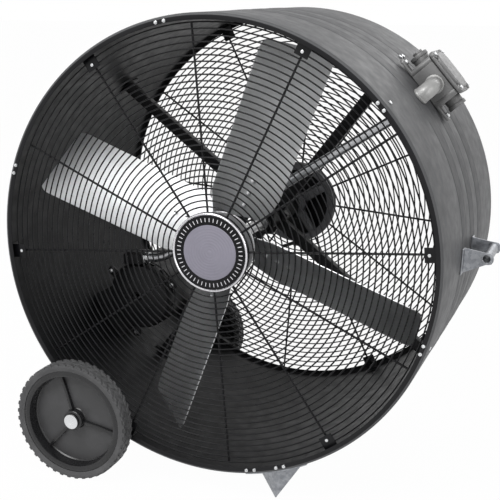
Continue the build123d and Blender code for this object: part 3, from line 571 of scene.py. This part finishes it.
spoke_count = 12
spoke_radius = 2.4
spoke_y = guard_y + spoke_radius - 0.2
spoke_line = [(fan_x + 78, spoke_y, fan_z), (fan_x + guard_radius + 1.2, spoke_y, fan_z)]
spoke = tube("guard_spoke", spoke_line, spoke_radius, 12)
spokes = around_axis(spoke, "front_guard_bars", spoke_count, start=spoke_angle)
rear_spokes = copy_of(spokes, "rear_guard_bars", half_turn)
rear_plate = turned("rear_guard_plate", behind(
    -guard_y, (0, -1.2), (78, -1.2), (84, -3.6), (86, -3.2), (86, -2.2), (79, 0.4), (20, 0.6), (18, 1.8), (0, 1.8)
), steps=72)
rear_spokes = join([rear_spokes, rear_plate], "rear_guard_bars")
dress_ends((spokes, rear_spokes), "drum", "guard_black", guard_black, "{}_guard_spokes")
hub_ring = turned("front_guard_hub_ring", behind(
    guard_y, (62, 0.4), (82, 0.4), (84, 1.4), (84, 4.4), (81, 4.8), (62, 4.8)
), steps=72)
dress(hub_ring, "drum", "guard_black", guard_black)

# ---- Guard lugs and the screws round the rim ----
lug_count = 6
lug_half_width = 15
lug_seat = sqrt((drum_inner - 0.3) ** 2 - lug_half_width**2)
lug_front = guard_y - 5.6
lug_profile = [(lug_seat + reach, lug_front + depth) for reach, depth in (
    (-36, 0), (-2, 0), (-0.4, 0.8), (0, 2.2), (0, 26.5), (-2.5, 26.5), (-2.5, 3.5), (-3.6, 2.5), (-36, 2.5)
)]
lug_outline = [(fan_x + radius, y, fan_z - lug_half_width) for radius, y in lug_profile]
lug = soften(sheet("guard_lug", lug_outline, (0, 0, 2 * lug_half_width)), 0.5)
lugs = around_axis(lug, "front_guard_lugs", lug_count, start=spoke_angle)
rear_lugs = copy_of(lugs, "rear_guard_lugs", half_turn)
dress_ends((lugs, rear_lugs), "drum", "guard_black", guard_black, "{}_guard_tabs")
lug_screw = stud("guard_lug_screw", 3.6, 2.6, (fan_x + lug_seat - 26, lug_front + 0.1, fan_z), forward, 18, 1.2)
lug_screws = around_axis(lug_screw, "front_guard_screws", lug_count, start=spoke_angle)
rear_lug_screws = copy_of(lug_screws, "rear_guard_screws", half_turn)
dress_ends((lug_screws, rear_lug_screws), "drum", "zinc", zinc)

rim_nut_radius = 473.0
rim_nut_angles = [41.3 + 60 * number for number in range(6)] + [289.6]
rim_screws = []
for angle in rim_nut_angles:
    for side in (-1.1, 1.1):
        seat = place(rim_nut_radius, angle + 0.35 + side, rim_front + 0.1)
        rim_screws.append(stud("rim_nut", 4.0, 4.2, seat, forward, 6, 0.5))
        rim_screws.append(stud("rim_bolt_end", 2.2, 7.2, seat, forward, 16, 0.4))
    wall_seat = place(drum_radius - 0.2, angle, station(31))
    rim_screws.append(stud("wall_screw", 4.2, 3.0, wall_seat, outward_at(angle)))
dress(join(rim_screws, "rim_screws"), "drum", "zinc", zinc)

# ---- Round badge ----
badge_front, badge_back = ends("front_badge")
tick_count = 48
ring = turned("badge_ring", behind(badge_back, (78, 0), (83.4, 0), (84, -0.8)) + behind(
    badge_front, (84, 2.0), (83.2, 0.6), (82, 0), (80.6, 0.4), (79.6, 1.8), (78, 2.2)
))
dress(ring, "drum", "badge_silver", badge_silver, "front_badge")
band = turned("badge_band", behind(badge_back, (58, 0), (79.2, 0)) + behind(
    badge_front, (79.2, 1.9), (68, 1.5), (59, 1.9), (58, 2.2)
))
dress(band, "drum", "badge_silver", badge_black)
tick = block("badge_tick", (8.5, 1.2, 1.9), (fan_x + 69, badge_front + 1.5, fan_z), 0, 0.4)
dress(around_axis(tick, "badge_ticks", tick_count), "drum", "badge_silver", badge_silver)
face_profile = behind(badge_back, (0, 0), (57.8, 0)) + behind(badge_front, (58.4, 1.6), (57.8, 0.8), (56.8, 0.5))
for ridge in range(54, 0, -6):
    face_profile += behind(badge_front, (ridge + 1.6, 0.5), (ridge, 0.95), (ridge - 1.6, 0.5))
face_profile += behind(badge_front, (0, 0.4))
dress(turned("badge_disc", face_profile), "drum", "badge_silver", badge_face)

# ---- Fan rotor ----
blade_middle = station(131.0)
blade_pitch = radians(43.0)
blade_bend = 500.0                                   # radius the blade's sheet is rolled to
blade_sheet = 2.0
blade_reach = 441.0
blade_angles = [69.4 + 90 * number for number in range(4)]
blade_face = Vector((0, -cos(blade_pitch), -sin(blade_pitch)))     # pushing side, at angle 0


def rolled_depth(sideways):
    """Y of the rolled blade's face where the front view shows this sideways distance."""
    low, high = -0.6, 0.6
    for _ in range(40):
        turn = (low + high) / 2
        across, rise = blade_bend * sin(turn), blade_bend * (1 - cos(turn))
        if across * cos(blade_pitch) - rise * sin(blade_pitch) < sideways:
            low = turn
        else:
            high = turn
    return blade_middle - across * sin(blade_pitch) - rise * cos(blade_pitch)


def make_blade():
    """Paddle at angle 0: tapered outline, round tip corners, then rolled and given its thickness."""
    tip = asin(62 / blade_reach)
    tip_turns = [tip * (step / 8 - 1) for step in range(17)]
    arc = [(blade_reach * cos(turn), blade_reach * sin(turn)) for turn in tip_turns]
    outline = [(58, -45), (110, -58.5)] + arc + [(110, 58.5), (58, 45)]
    piece = draw_line("blade", [(fan_x + x, 0, fan_z + z) for x, z in outline])
    bpy.ops.mesh.select_all(action="SELECT")
    bpy.ops.mesh.edge_face_add()
    bpy.ops.mesh.select_all(action="DESELECT")
    out_of_edit()
    for corner in (2, 18):
        piece.data.vertices[corner].select = True
    bpy.ops.object.mode_set(mode="EDIT")
    bpy.ops.mesh.select_mode(type="VERT")
    bpy.ops.mesh.bevel(offset=24 * mm, segments=8, affect="VERTICES", clamp_overlap=False)
    for step in range(-14, 15):
        bpy.ops.mesh.select_all(action="SELECT")
        bpy.ops.mesh.bisect(plane_co=(0, 0, (fan_z + step * 4.4) * mm), plane_no=(0, 0, 1))
    out_of_edit()
    for vertex in piece.data.vertices:
        vertex.co.y = rolled_depth(vertex.co.z / mm - fan_z) * mm
    into_edit(piece)
    bpy.ops.mesh.normals_make_consistent(inside=False)
    out_of_edit()
    if sum(face.normal.y for face in piece.data.polygons) > 0:
        flip_faces(piece)
    wall = piece.modifiers.new("sheet", "SOLIDIFY")
    wall.thickness = blade_sheet * mm
    wall.offset = -1.0
    bpy.ops.object.modifier_apply(modifier=wall.name)
    return soften(piece, 0.5, 1, 60)


first_blade = make_blade()
for number, angle in enumerate(blade_angles, 1):
    blade = smooth(copy_of(first_blade, f"fan_blade_{number}", turn_about(angle)), 40)
    dress(blade, "fan_rotor", "blade_metal", blade_metal, f"blade_{number}")
bpy.data.objects.remove(first_blade)

rivets = []
for reach in (84, 112, 140):
    seat = Vector((fan_x + reach, blade_middle, fan_z)) - blade_face * 0.1
    rivets.append(stud("blade_rivet", 5.2, 3.8, seat, blade_face))
rivets = around_axis(join(rivets, "blade_rivets"), "blade_rivets", len(blade_angles), start=blade_angles[0])
dress(rivets, "fan_rotor", "zinc", zinc)

spider = softened("fan_hub", 1.2)
hub_plate = turned("hub_cover_plate", behind(
    ends("fan_hub")[0], (13, -0.4), (60, -0.4), (66, -0.9), (72.6, -0.9), (74.4, 0.6), (74.4, 2.6), (73.4, 3.4),
    (13, 3.4),
))
dress(spider, "fan_rotor", "hub_metal", cast_black, "fan_hub")
dress(hub_plate, "fan_rotor", "hub_metal", hub_metal)
shaft_front, shaft_rear = ends("fan_shaft")
shaft_profile = behind(shaft_front, (0, 0), (3, 0), (3, 4), (4, 4), (4, 0), (11.3, 0), (12.5, 1.2))
shaft_profile += behind(shaft_rear, (12.5, -1.2), (11.3, 0), (4, 0), (3, -4), (0, -4))
shaft = turned("fan_shaft_turned", shaft_profile, steps=48)
dress(shaft, "fan_rotor", "shaft_steel", steel, "fan_shaft")

# ---- Bearing frame ----
housing_front, housing_rear = ends("bearing_housing")
housing_profile = behind(housing_front, (16, 0), (24.2, 0), (25, 0.8))
housing_profile += behind(housing_rear, (25, -0.8), (24.2, 0), (16, 0))
housing_tube = turned("bearing_tube", housing_profile, steps=64)
housing_block = block("bearing_block", (58, 26, 58), (fan_x, housing_middle, fan_z), strut_angle, 1.6, 3)
bore(housing_block, 24.6, housing_front, housing_rear, fan_center, 64)
housing = join([housing_tube, housing_block], "bearing_carrier")
dress(housing, "drum", "frame_paint", frame_black, "bearing_housing")

# Radius and distance out of the housing's end.
boss_profile = [(18.5, 0), (23.4, 0), (23.4, 7), (22, 15), (20.6, 17), (18.5, 17)]
race_profile = [(13.2, 10), (18.6, 10), (18.6, 18), (17.6, 19), (14.2, 19), (13.2, 18)]
bearing_parts, races = [], []
for face_y, outward in ((housing_front, -1), (housing_rear, 1)):
    flange = block("bearing_flange", (56, 6, 56), (fan_x, face_y + outward * 3, fan_z), 0, 2.4, 3)
    bore(flange, 19, face_y - 30, face_y + 30, fan_center, 48)
    boss_line = [(radius, face_y + outward * depth) for radius, depth in boss_profile]
    bearing_parts += [flange, turned("bearing_boss", boss_line, steps=64)]
    for side in (-21, 21):
        for up in (-21, 21):
            seat = (fan_x + side, face_y + outward * 6, fan_z + up)
            bearing_parts.append(stud("flange_bolt", 4.4, 3.4, seat, (0, outward, 0), 6, 0.5))
    race_line = [(radius, face_y + outward * depth) for radius, depth in race_profile]
    races.append(turned("bearing_race", race_line, steps=48))
dress(join(bearing_parts, "flange_bearings"), "drum", "bearing_black", cast_black, "shaft_bearings")
dress(join(races, "bearing_races"), "drum", "shaft_steel", steel)
for number in range(1, 5):
    dress(softened(f"strut_{number}", 0.7), "drum", "frame_paint", frame_black, f"strut_{number}")
strut_bolts = []
for angle in range(strut_angle, strut_angle + 360, 90):
    for step in (-12, 12):
        seat = place(drum_radius + 0.1, angle, housing_middle + step)
        strut_bolts.append(stud("strut_bolt", 5.0, 3.6, seat, outward_at(angle)))
dress(join(strut_bolts, "strut_bolts"), "drum", "zinc", zinc)

# ---- Belt drive ----
belt_y = station(574.0)
pulley_radius, motor_pulley_radius = 101.0, 38.0


def grooved(outer, inner):
    """Profile of a pulley's rim with its V groove."""
    return behind(
        belt_y, (inner, -11), (outer - 0.8, -11), (outer, -10.2), (outer, -7.4), (outer - 9.9, -4.1),
        (outer - 9.9, 4.1), (outer, 7.4), (outer, 10.2), (outer - 0.8, 11), (inner, 11),
    )


big_rim = turned("driven_pulley_rim", grooved(pulley_radius, 84.1), steps=128)
big_hub = turned("driven_pulley_hub", behind(
    belt_y, (12.6, -11), (26.5, -11), (28, -9.5), (28, 9.5), (26.5, 11), (12.6, 11)
), steps=64)
arm = sheet("driven_pulley_arm", [
    (fan_x + reach, belt_y + depth, fan_z + up)
    for reach, depth, up in ((24, -5.5, -12), (86, -4, -9), (86, -4, 9), (24, -5.5, 12))
], (0, 9, 0))
arms = around_axis(soften(arm, 2.0, 3), "driven_pulley_arms", 4, start=30)
big_pulley = join([big_rim, big_hub, arms], "driven_pulley_cast")
dress(big_pulley, "fan_rotor", "pulley_grey", pulley_gray, "driven_pulley")
small_profile = grooved(motor_pulley_radius, 8.0)[:-1] + behind(belt_y, (20, 11), (18.5, 9.6), (8.0, 9.6))
small_pulley = turned("motor_pulley_turned", small_profile, motor_center, 72)
dress(small_pulley, "motor_rotor", "pulley_grey", pulley_gray, "motor_pulley")

belt_depth = 4.5                                     # from a pulley's rim to the belt's middle
big_pitch, small_pitch = pulley_radius - belt_depth, motor_pulley_radius - belt_depth
big_steps, small_steps = 48, 24
motor_reach = sqrt((motor_x - fan_x) ** 2 + (motor_z - fan_z) ** 2)
belt_angle = degrees(atan2(motor_z - fan_z, motor_x - fan_x))
belt_lean = degrees(pi / 2 - asin((big_pitch - small_pitch) / motor_reach))
belt_line = []
for step in range(big_steps + 1):
    turn = belt_angle + belt_lean + (360 - 2 * belt_lean) * step / big_steps
    belt_line.append(place(big_pitch, turn, belt_y, fan_center))
for step in range(small_steps + 1):
    turn = belt_angle - belt_lean + 2 * belt_lean * step / small_steps
    belt_line.append(place(small_pitch, turn, belt_y, motor_center))


def make_belt(name):
    """V section drawn at each point of the belt's line, bridged into one loop."""
    section = [(-4.0, -3.9), (4.0, -6.5), (4.0, 6.5), (-4.0, 3.9)]        # (outwards, along the shaft)
    piece = begin(bpy.ops.mesh.primitive_plane_add, name, size=0.001)
    bpy.ops.mesh.delete(type="VERT")
    out_of_edit()
    count = len(belt_line)
    corners, faces = [], []
    for number, point in enumerate(belt_line):
        before, after = Vector(belt_line[number - 1]), Vector(belt_line[(number + 1) % count])
        outward = (after - before).normalized().cross(Vector((0, 1, 0))).normalized()
        axis = Vector(place(0, 0, belt_y, fan_center if number <= big_steps else motor_center))
        if outward.dot(Vector(point) - axis) < 0:
            outward = -outward
        for out, side in section:
            corners.append((Vector(point) + outward * out + Vector((0, side, 0))) * mm)
        here, there = number * 4, (number + 1) % count * 4
        for edge in range(4):
            next_edge = (edge + 1) % 4
            faces.append((here + edge, here + next_edge, there + next_edge, there + edge))
    piece.data.from_pydata(corners, [], faces)
    into_edit(piece)
    tidy_mesh()
    return soften(piece, 0.5, 1, 50)


dress(make_belt("v_belt"), "drum", "belt_rubber", belt_rubber, "drive_belt")

# ---- Motor ----
motor_front, motor_rear = ends("motor_housing")
motor_profile = behind(
    motor_front, (14, 0), (46, 0), (52, 3), (66, 4), (76, 9), (81.5, 20), (81.5, 38), (79.5, 39), (79.5, 42), (82.3, 43)
)
motor_profile += behind(
    motor_rear, (82.3, -43), (79.5, -42), (79.5, -39), (81.5, -38), (81.5, -20), (76, -9), (60, -3), (30, 0), (9, 0)
)
motor_profile += behind(motor_front, (9, 6), (14, 5))
motor_shell = turned("motor_shell", motor_profile, motor_center)
slots = []
for angle in range(15, 360, 30):
    for y in (motor_front + 28, motor_rear - 28):
        slots.append(block("slot_cutter", (8, 12, 26), place(82.0, angle, y, motor_center), angle, 1.5))
cut(motor_shell, join(slots, "slot_cutters"))
smooth(motor_shell)
motor_lug_angles = [23 + 120 * number for number in range(3)]
motor_lugs = [
    block("motor_lug", (26, 9, 20), place(90.5, angle, motor_front + 18.5, motor_center), angle, 3.0, 3)
    for angle in motor_lug_angles
]
motor = join([motor_shell] + motor_lugs, "motor_body")
dress(motor, "drum", "motor_paint", motor_black, "motor_housing")
motor_bolts = [
    stud("motor_bolt", 5.5, 4.5, place(94, angle, motor_front + 14.1, motor_center), forward, 6, 0.7)
    for angle in motor_lug_angles
]
dress(join(motor_bolts, "motor_through_bolts"), "drum", "zinc", zinc)
spindle_profile = behind(motor_rear, (0, -14), (7.95, -14)) + behind(station(585), (7.95, -1), (7.2, 0), (0, 0))
motor_spindle = turned("motor_spindle", spindle_profile, motor_center, 40)
dress(motor_spindle, "motor_rotor", "shaft_steel", steel, "motor_shaft")
dress(softened("motor_cradle", 0.9), "drum", "frame_paint", frame_black, "motor_cradle")
dress(softened("motor_terminal_box", 2.0, 3), "drum", "motor_paint", motor_black, "motor_terminal_box")

# ---- Conduit ----
conduit_y = station(266.0)
wall_angle = 39                                      # where the conduit leaves the drum's wall
terminal_angle = 95                                  # of the motor's terminal box
terminal_side = outward_at(terminal_angle - 90)
box_face = Vector((motor_x, conduit_y, motor_z)) + outward_at(terminal_angle) * 95.8 + terminal_side * 23.0
box_joint = box_face + terminal_side * 14.0
conduit_line = [
    place(466.6, wall_angle, conduit_y), place(442.6, wall_angle, conduit_y), box_joint + terminal_side * 34.0, box_joint
]
conduit = tube("motor_conduit", conduit_line, 10.5, 24, 20.0)
dress(conduit, "drum", "galvanised", conduit_gray, "conduit")


def connector(base, direction):
    """Set-screw connector: hexagon collar, barrel and screw."""
    direction = direction.normalized()
    screw_seat = base + direction * 10 + Vector((0, -12.5, 0))
    return [
        stud("connector_collar", 15.4, 5.0, base, direction, 6, 0.8),
        stud("connector_barrel", 13.0, 14.0, base, direction, 28, 1.0),
        stud("connector_screw", 3.0, 3.0, screw_seat, forward, 12),
    ]


wall_face = Vector(place(480.2, wall_angle, conduit_y))
connectors = connector(wall_face, Vector(place(0, 0, conduit_y)) - wall_face) + connector(box_face, terminal_side)
dress(join(connectors, "conduit_set_screw_connectors"), "drum", "zinc", zinc, "conduit_connectors")

# ---- Wiring box on the drum ----
box_angle = 40.7
box_up = outward_at(box_angle)
box_round = outward_at(box_angle + 90)
box_foot = Vector(place(drum_radius, box_angle, station(358.0)))


def on_box(rearwards, round_drum, height):
    """Point of the wiring box in its own directions."""
    return box_foot + Vector((0, rearwards, 0)) + box_round * round_drum + box_up * height


def box_piece(name, size, middle, corner, round_by, segments=3):
    """Block lying along the wiring box's directions, with its upright corners rounded."""
    outline = []
    for quarter, (side, end) in enumerate(((1, 1), (-1, 1), (-1, -1), (1, -1))):
        for step in range(7):
            turn = radians(90 * quarter + 15 * step)
            outline.append(on_box(
                middle[0] + side * (size[0] / 2 - corner) + corner * cos(turn),
                middle[1] + end * (size[1] / 2 - corner) + corner * sin(turn),
                middle[2] - size[2] / 2,
            ))
    return soften(sheet(name, outline, box_up * size[2]), round_by, segments)


def cover_corners(height):
    """The four screw places of the wiring box's cover."""
    return [on_box(side * 39, end * 44 + 1, height) for side in (-1, 1) for end in (-1, 1)]


shell_parts = [box_piece("box_shell", (88, 96, 54), (0, 1, 27.6), 13, 1.5)]
for side in (-1, 1):
    for end in (-41.5, 41.5):
        shell_parts.append(stud("box_corner_post", 8.0, 54, on_box(side * 37.5, end + 1, 0.6), box_up, 24, 1.2))
    for radius, near, far in ((18.5, 42, 70.4), (20.5, 62, 70.5)):
        port = stud("box_port", radius, far - near, on_box(0, side * near, 30), box_round * side, 40, 1.2)
        if side < 0:
            cut(port, stud("inlet_cutter", 10.3, 16.0, on_box(0, -71.5, 32), box_round, 40, 0.2))
        shell_parts.append(smooth(port))
    shell_parts.append(box_piece("box_lug", (22, 42, 6), (-34, side * 61, 3.6), 8, 1.4))
dress(join(shell_parts, "wiring_box_shell"), "drum", "cast_aluminium", box_metal, "junction_box")
gasket = box_piece("wiring_box_gasket", (90.5, 100, 2.4), (0, 1, 55.8), 14, 0.3, 1)
dress(gasket, "drum", "gasket_rubber", gasket_rubber, "box_gasket")
cover_parts = [
    box_piece("box_cover_flange", (97, 108, 7), (0, 1, 60.4), 17, 1.8),
    box_piece("box_cover_crown", (80, 92, 10), (0, 1, 65.0), 24, 3.6, 5),
]
cover_parts += [stud("cover_boss", 9.2, 9.6, corner, box_up, 24, 1.6) for corner in cover_corners(57.0)]
dress(join(cover_parts, "wiring_box_cover"), "drum", "cast_aluminium", box_metal, "box_cover")
screws = [stud("cover_screw", 4.6, 4.2, corner, box_up, 6, 0.7) for corner in cover_corners(66.4)]
dress(join(screws, "wiring_box_cover_screws"), "drum", "zinc", zinc, "cover_screws")
lug_bolts = [stud("lug_bolt", 5.6, 5.0, on_box(-34, side, 6.6), box_up, 6, 0.7) for side in (-71, 71)]
dress(join(lug_bolts, "wiring_box_bolts"), "drum", "zinc", zinc, "box_bolts")
plug = stud("wiring_box_plug", 11.5, 7.0, on_box(0, 70, 32), box_round, 8, 1.0)
dress(plug, "drum", "cast_aluminium", box_metal, "port_plug")

elbow_mouth = (-104, -8)
elbow_height = 29
elbow_route = [on_box(-43, -4, elbow_height), on_box(*elbow_mouth, elbow_height), on_box(*elbow_mouth, 0.2)]
elbow = join([
    tube("elbow_bend", elbow_route, 17.6, 40, 25.0),
    stud("elbow_collar", 21.0, 8.0, on_box(-43.5, -4, elbow_height), forward, 48, 2.0),
    stud("elbow_rim", 18.6, 6.0, on_box(*elbow_mouth, 0.3), box_up, 48, 1.2),
], "wiring_elbow")
dress(elbow, "drum", "cast_aluminium", elbow_metal, "conduit_elbow")

# ---- Axle and wheels ----
axle_front, axle_rear = ends("axle")
axle_profile = behind(axle_front, (0, 0), (7.2, 0), (8, 0.8)) + behind(axle_rear, (8, -0.8), (7.2, 0), (0, 0))
dress(turned("axle_rod", axle_profile, wheel_center, 40), "drum", "shaft_steel", steel, "axle")
front_cap = turned("axle_cap", behind(
    ends("axle_caps")[0], (0, 4), (17.2, 4), (18, 3.2), (17.6, 1.6), (15.4, 0.4), (12.8, 0), (9.0, 0.6), (6.0, -0.2),
    (4.6, 0.6), (0, 0.2),
), wheel_center, 48)
caps = join([front_cap, rear_twin(front_cap, "axle_cap_rear")], "axle_push_caps")
dress(caps, "drum", "zinc", zinc, "axle_caps")
spacer_profile = behind(ends("axle_spacers")[0], (8.3, 0), (11.2, 0), (12, 0.8))
spacer_profile += behind(station(30), (12, -0.8), (11.2, 0), (8.3, 0))
spacer = turned("axle_spacer", spacer_profile, wheel_center, 40)
spacers = join([spacer, rear_twin(spacer, "axle_spacer_rear")], "axle_spacer_tubes")
dress(spacers, "drum", "zinc", zinc, "axle_spacers")
for end in ("front", "rear"):
    dress(softened(f"axle_bracket_{end}", 0.9), "drum", "frame_paint", drum_gray, f"axle_bracket_{end}")

tyre_middle = sum(ends("front_tyre")) / 2
tread_count = 44
tread_pitch = 360 / tread_count
# Radius and distance from the tyre's middle plane, from the bead to the tread.
side_profile = [
    (118, 17.0), (120, 18.2), (122.4, 18.4), (124, 19.6), (127, 20.6), (129.4, 20.6), (130.6, 18.6), (131.2, 15),
    (131.4, 8),
]
tyre_profile = [(r, tyre_middle - w) for r, w in side_profile] + behind(tyre_middle, *reversed(side_profile))
tyre = turned("tyre_carcass", tyre_profile, wheel_center, 120)


def tread_block(offset, turn, length, width, lean):
    """Raised block of the tread: leaning, with a smaller top."""
    piece = begin(bpy.ops.mesh.primitive_cube_add, "tread_block", size=1)
    bpy.ops.transform.resize(value=(5.4 * mm, width * mm, length * mm))
    out_of_edit()
    for vertex in piece.data.vertices:
        vertex.co.z += lean * vertex.co.y
        if vertex.co.x > 0:
            vertex.co.y *= 0.86
            vertex.co.z *= 0.84
    seat = Vector((wheel_x + 131.0, tyre_middle + offset, wheel_z)) * mm
    piece.data.transform(turn_about(turn, wheel_center) @ Matrix.Translation(seat))
    return piece


tread = [
    tread_block(-11.5, 0, 14.5, 10.0, 0.75),
    tread_block(0.0, tread_pitch / 3, 14.5, 10.0, -0.75),
    tread_block(11.5, 0, 14.5, 10.0, 0.75),
    tread_block(-17.6, tread_pitch / 2, 9.5, 5.4, 0.0),
    tread_block(17.6, tread_pitch / 2, 9.5, 5.4, 0.0),
]
tread = around_axis(join(tread, "tread_pattern"), "tread_blocks", tread_count, wheel_center)
tyre = join([tyre, soften(tread, 0.5, 1, 40)], "front_tyre_rubber")
rear_tyre = rear_twin(tyre, "rear_tyre_rubber")
dress_ends((tyre, rear_tyre), "{}_wheel", "tyre_rubber", tyre_rubber, "{}_tyre")

disc_front, disc_rear = ends("front_wheel_disc")
web_front = tyre_middle + 10.0
disc_profile = behind(disc_front, (8.1, 0), (17.0, 0), (18, 1), (18, 7), (20.8, 8), (22, 9.2))
disc_profile += behind(web_front, (22, -2), (24, 0), (100, 0), (102.5, -2.5))
disc_profile += behind(
    tyre_middle, (103.5, -13), (105, -16.4), (107, -17.6), (116, -17.2), (118, -15.8), (118, 15.8), (116, 17.2),
    (106, 17.0), (103.5, 16.0), (24, 16.0),
)
disc_profile += behind(disc_rear, (22, 0), (8.1, 0))
disc = turned("wheel_disc", disc_profile, wheel_center, 120)
rib_half = 3.2
rib = sheet("wheel_rib", [
    (wheel_x + reach, web_front + depth, wheel_z - rib_half)
    for reach, depth in ((20, 1), (20, -11), (60, -8), (104, -9), (104, 1))
], (0, 0, 2 * rib_half))
ribs = around_axis(soften(rib, 0.8), "wheel_ribs", 3, wheel_center, start=108)
disc = smooth(join([disc, ribs], "front_wheel_moulding"))
rear_disc = rear_twin(disc, "rear_wheel_moulding")
web_profile = behind(web_front, (24.2, -0.3), (100, -0.3), (100, 1), (24.2, 1))
web = turned("front_wheel_web", web_profile, wheel_center, 120)
rear_web = rear_twin(web, "rear_wheel_web")
dress_ends((web, rear_web), "{}_wheel", "wheel_plastic", wheel_web_plastic)
dress_ends((disc, rear_disc), "{}_wheel", "wheel_plastic", wheel_plastic, "{}_wheel_disc")

# ---- Feet ----
foot_tip = Vector((fan_x + 142.0, station(27.0), 0.4))
wing_radius = 486.0                                  # of the wings' upper ends
left_top, fold_top, right_top = (
    Vector(place(wing_radius, angle, station(distance)))
    for angle, distance in ((280.3, 60), (287.4, 12), (294.9, 52))
)
foot_parts = []
for near, far in ((left_top, fold_top), (fold_top, right_top)):
    ends_low = [foot_tip + (top - foot_tip) * 0.02 for top in (near, far)]
    inward = (near - foot_tip).cross(far - near).normalized() * 3.0
    foot_parts.append(soften(sheet("foot_wing", [ends_low[0], near, far, ends_low[1]], inward), 0.5))
saddle_turns = [279.6 + 17.0 * step / 12 for step in range(13)]
saddle_line = [place(482.7, turn, station(6)) for turn in saddle_turns]
saddle_line += [place(485.7, turn, station(6)) for turn in reversed(saddle_turns)]
foot_parts.append(soften(sheet("foot_saddle", saddle_line, (0, 50, 0)), 0.5, 1, 40))
foot = join(foot_parts, "front_foot_finished")
rear_foot = rear_twin(foot, "rear_foot_finished")
dress_ends((foot, rear_foot), "drum", "galvanised", galvanised, "{}_foot")

# ---- Carry handle ----
eye_x, _, eye_z = place(531.0, -1.6)
eye_half = 12                                        # half the height of an ear round its eye
for end in ("front", "rear"):
    node = f"handle_ear_{end}"
    ear = softened(node, 0.6)
    ear_front, ear_rear = ends(node)
    bore(ear, 10.7, ear_front - 5, ear_rear + 5, (eye_x, eye_z), 40)
    for vertex in ear.data.vertices:
        rise = vertex.co.z / mm - eye_z
        along = (vertex.co.x / mm - fan_x - drum_radius) / (eye_x - fan_x - drum_radius)
        if abs(rise) > eye_half:
            taper = min(max(0.9 - 0.8 * along, 0.1), 0.9)
            vertex.co.z = (eye_z + copysign(eye_half + (abs(rise) - eye_half) * taper, rise)) * mm
    dress(smooth(ear), "drum", "galvanised", galvanised, node)
tube_front, tube_rear = ends("handle_tube")
grip_profile = behind(tube_front - 3.4, (8.05, 0.5), (8.6, 0), (10.1, 0), (10.65, 0.5))
grip_profile += behind(tube_rear + 3.4, (10.65, -0.5), (10.1, 0), (8.6, 0), (8.05, -0.5))
grip = turned("handle_grip_tube", grip_profile, (eye_x, eye_z), 48)
dress(grip, "drum", "galvanised", galvanised, "handle_tube")

# ---- Floor, light and camera ----
white = (1, 1, 1, 1)


def seen_directly(tree):
    """1 for camera and mirror rays, 0 for the light that falls on things."""
    rays = add_node(tree, "LightPath")
    either = add_node(tree, "Math")
    either.operation = "MAXIMUM"
    tree.links.new(rays.outputs["Is Camera Ray"], either.inputs[0])
    tree.links.new(rays.outputs["Is Glossy Ray"], either.inputs[1])
    return either.outputs[0]


def show_blend(tree, factor, first, second, output):
    """Mix two shaders into the tree's output."""
    blend = add_node(tree, "MixShader")
    tree.links.new(factor, blend.inputs["Fac"])
    tree.links.new(first.outputs[0], blend.inputs[1])
    tree.links.new(second.outputs[0], blend.inputs[2])
    tree.links.new(blend.outputs["Shader"], tree.nodes[output].inputs["Surface"])


clear_selection()
bpy.ops.mesh.primitive_plane_add(size=60, location=(0, 0, -0.0005))
floor = bpy.context.object
floor.name = "studio_floor"
floor_paper = bpy.data.materials.new("pale_floor")
floor_paper.use_nodes = True
tree = floor_paper.node_tree
paper = tree.nodes["Principled BSDF"]
set_inputs(paper, Base_Color=(0.86, 0.86, 0.86, 1), Roughness=0.9)
glow = add_node(tree, "Emission", Color=white)
share = add_node(tree, "Math")
share.operation = "MULTIPLY"
share.inputs[1].default_value = 0.98
tree.links.new(seen_directly(tree), share.inputs[0])
show_blend(tree, share.outputs[0], paper, glow, "Material Output")
floor.data.materials.append(floor_paper)

world = bpy.data.worlds.new("studio")
bpy.context.scene.world = world
world.use_nodes = True
tree = world.node_tree
sky = tree.nodes["Background"]
set_inputs(sky, Color=white, Strength=0.45)
backdrop = add_node(tree, "Background", Color=white, Strength=1.0)
show_blend(tree, seen_directly(tree), sky, backdrop, "World Output")


def facing(location, target):
    """Rotation of a light or camera that looks from one point at another."""
    return (Vector(target) - Vector(location)).to_track_quat("-Z", "Y").to_euler()


def soft_light(name, location, target, power):
    clear_selection()
    bpy.ops.object.light_add(type="AREA", location=location)
    lamp = bpy.context.object
    lamp.name = name
    lamp.data.energy = power
    lamp.data.size = 2.0
    lamp.rotation_euler = facing(location, target)


soft_light("key_light", (-0.6, -2.2, 3.1), (0, -0.1, 0.6), 82)
soft_light("fill_light", (3.4, -1.8, 1.8), (0, 0, 0.5), 30)
soft_light("rear_light", (1.2, 3.2, 2.6), (0, 0, 0.6), 26)

clear_selection()
bpy.ops.object.camera_add(location=(0.7784, -2.170, 1.0583))
camera = bpy.context.object
camera.rotation_euler = facing(camera.location, (0.0620, -0.308, 0.5518))
camera.data.lens = 73.84
camera.data.sensor_width = 36
bpy.context.scene.camera = camera
bpy.context.scene.view_settings.view_transform = "Standard"

bpy.context.view_layer.update()
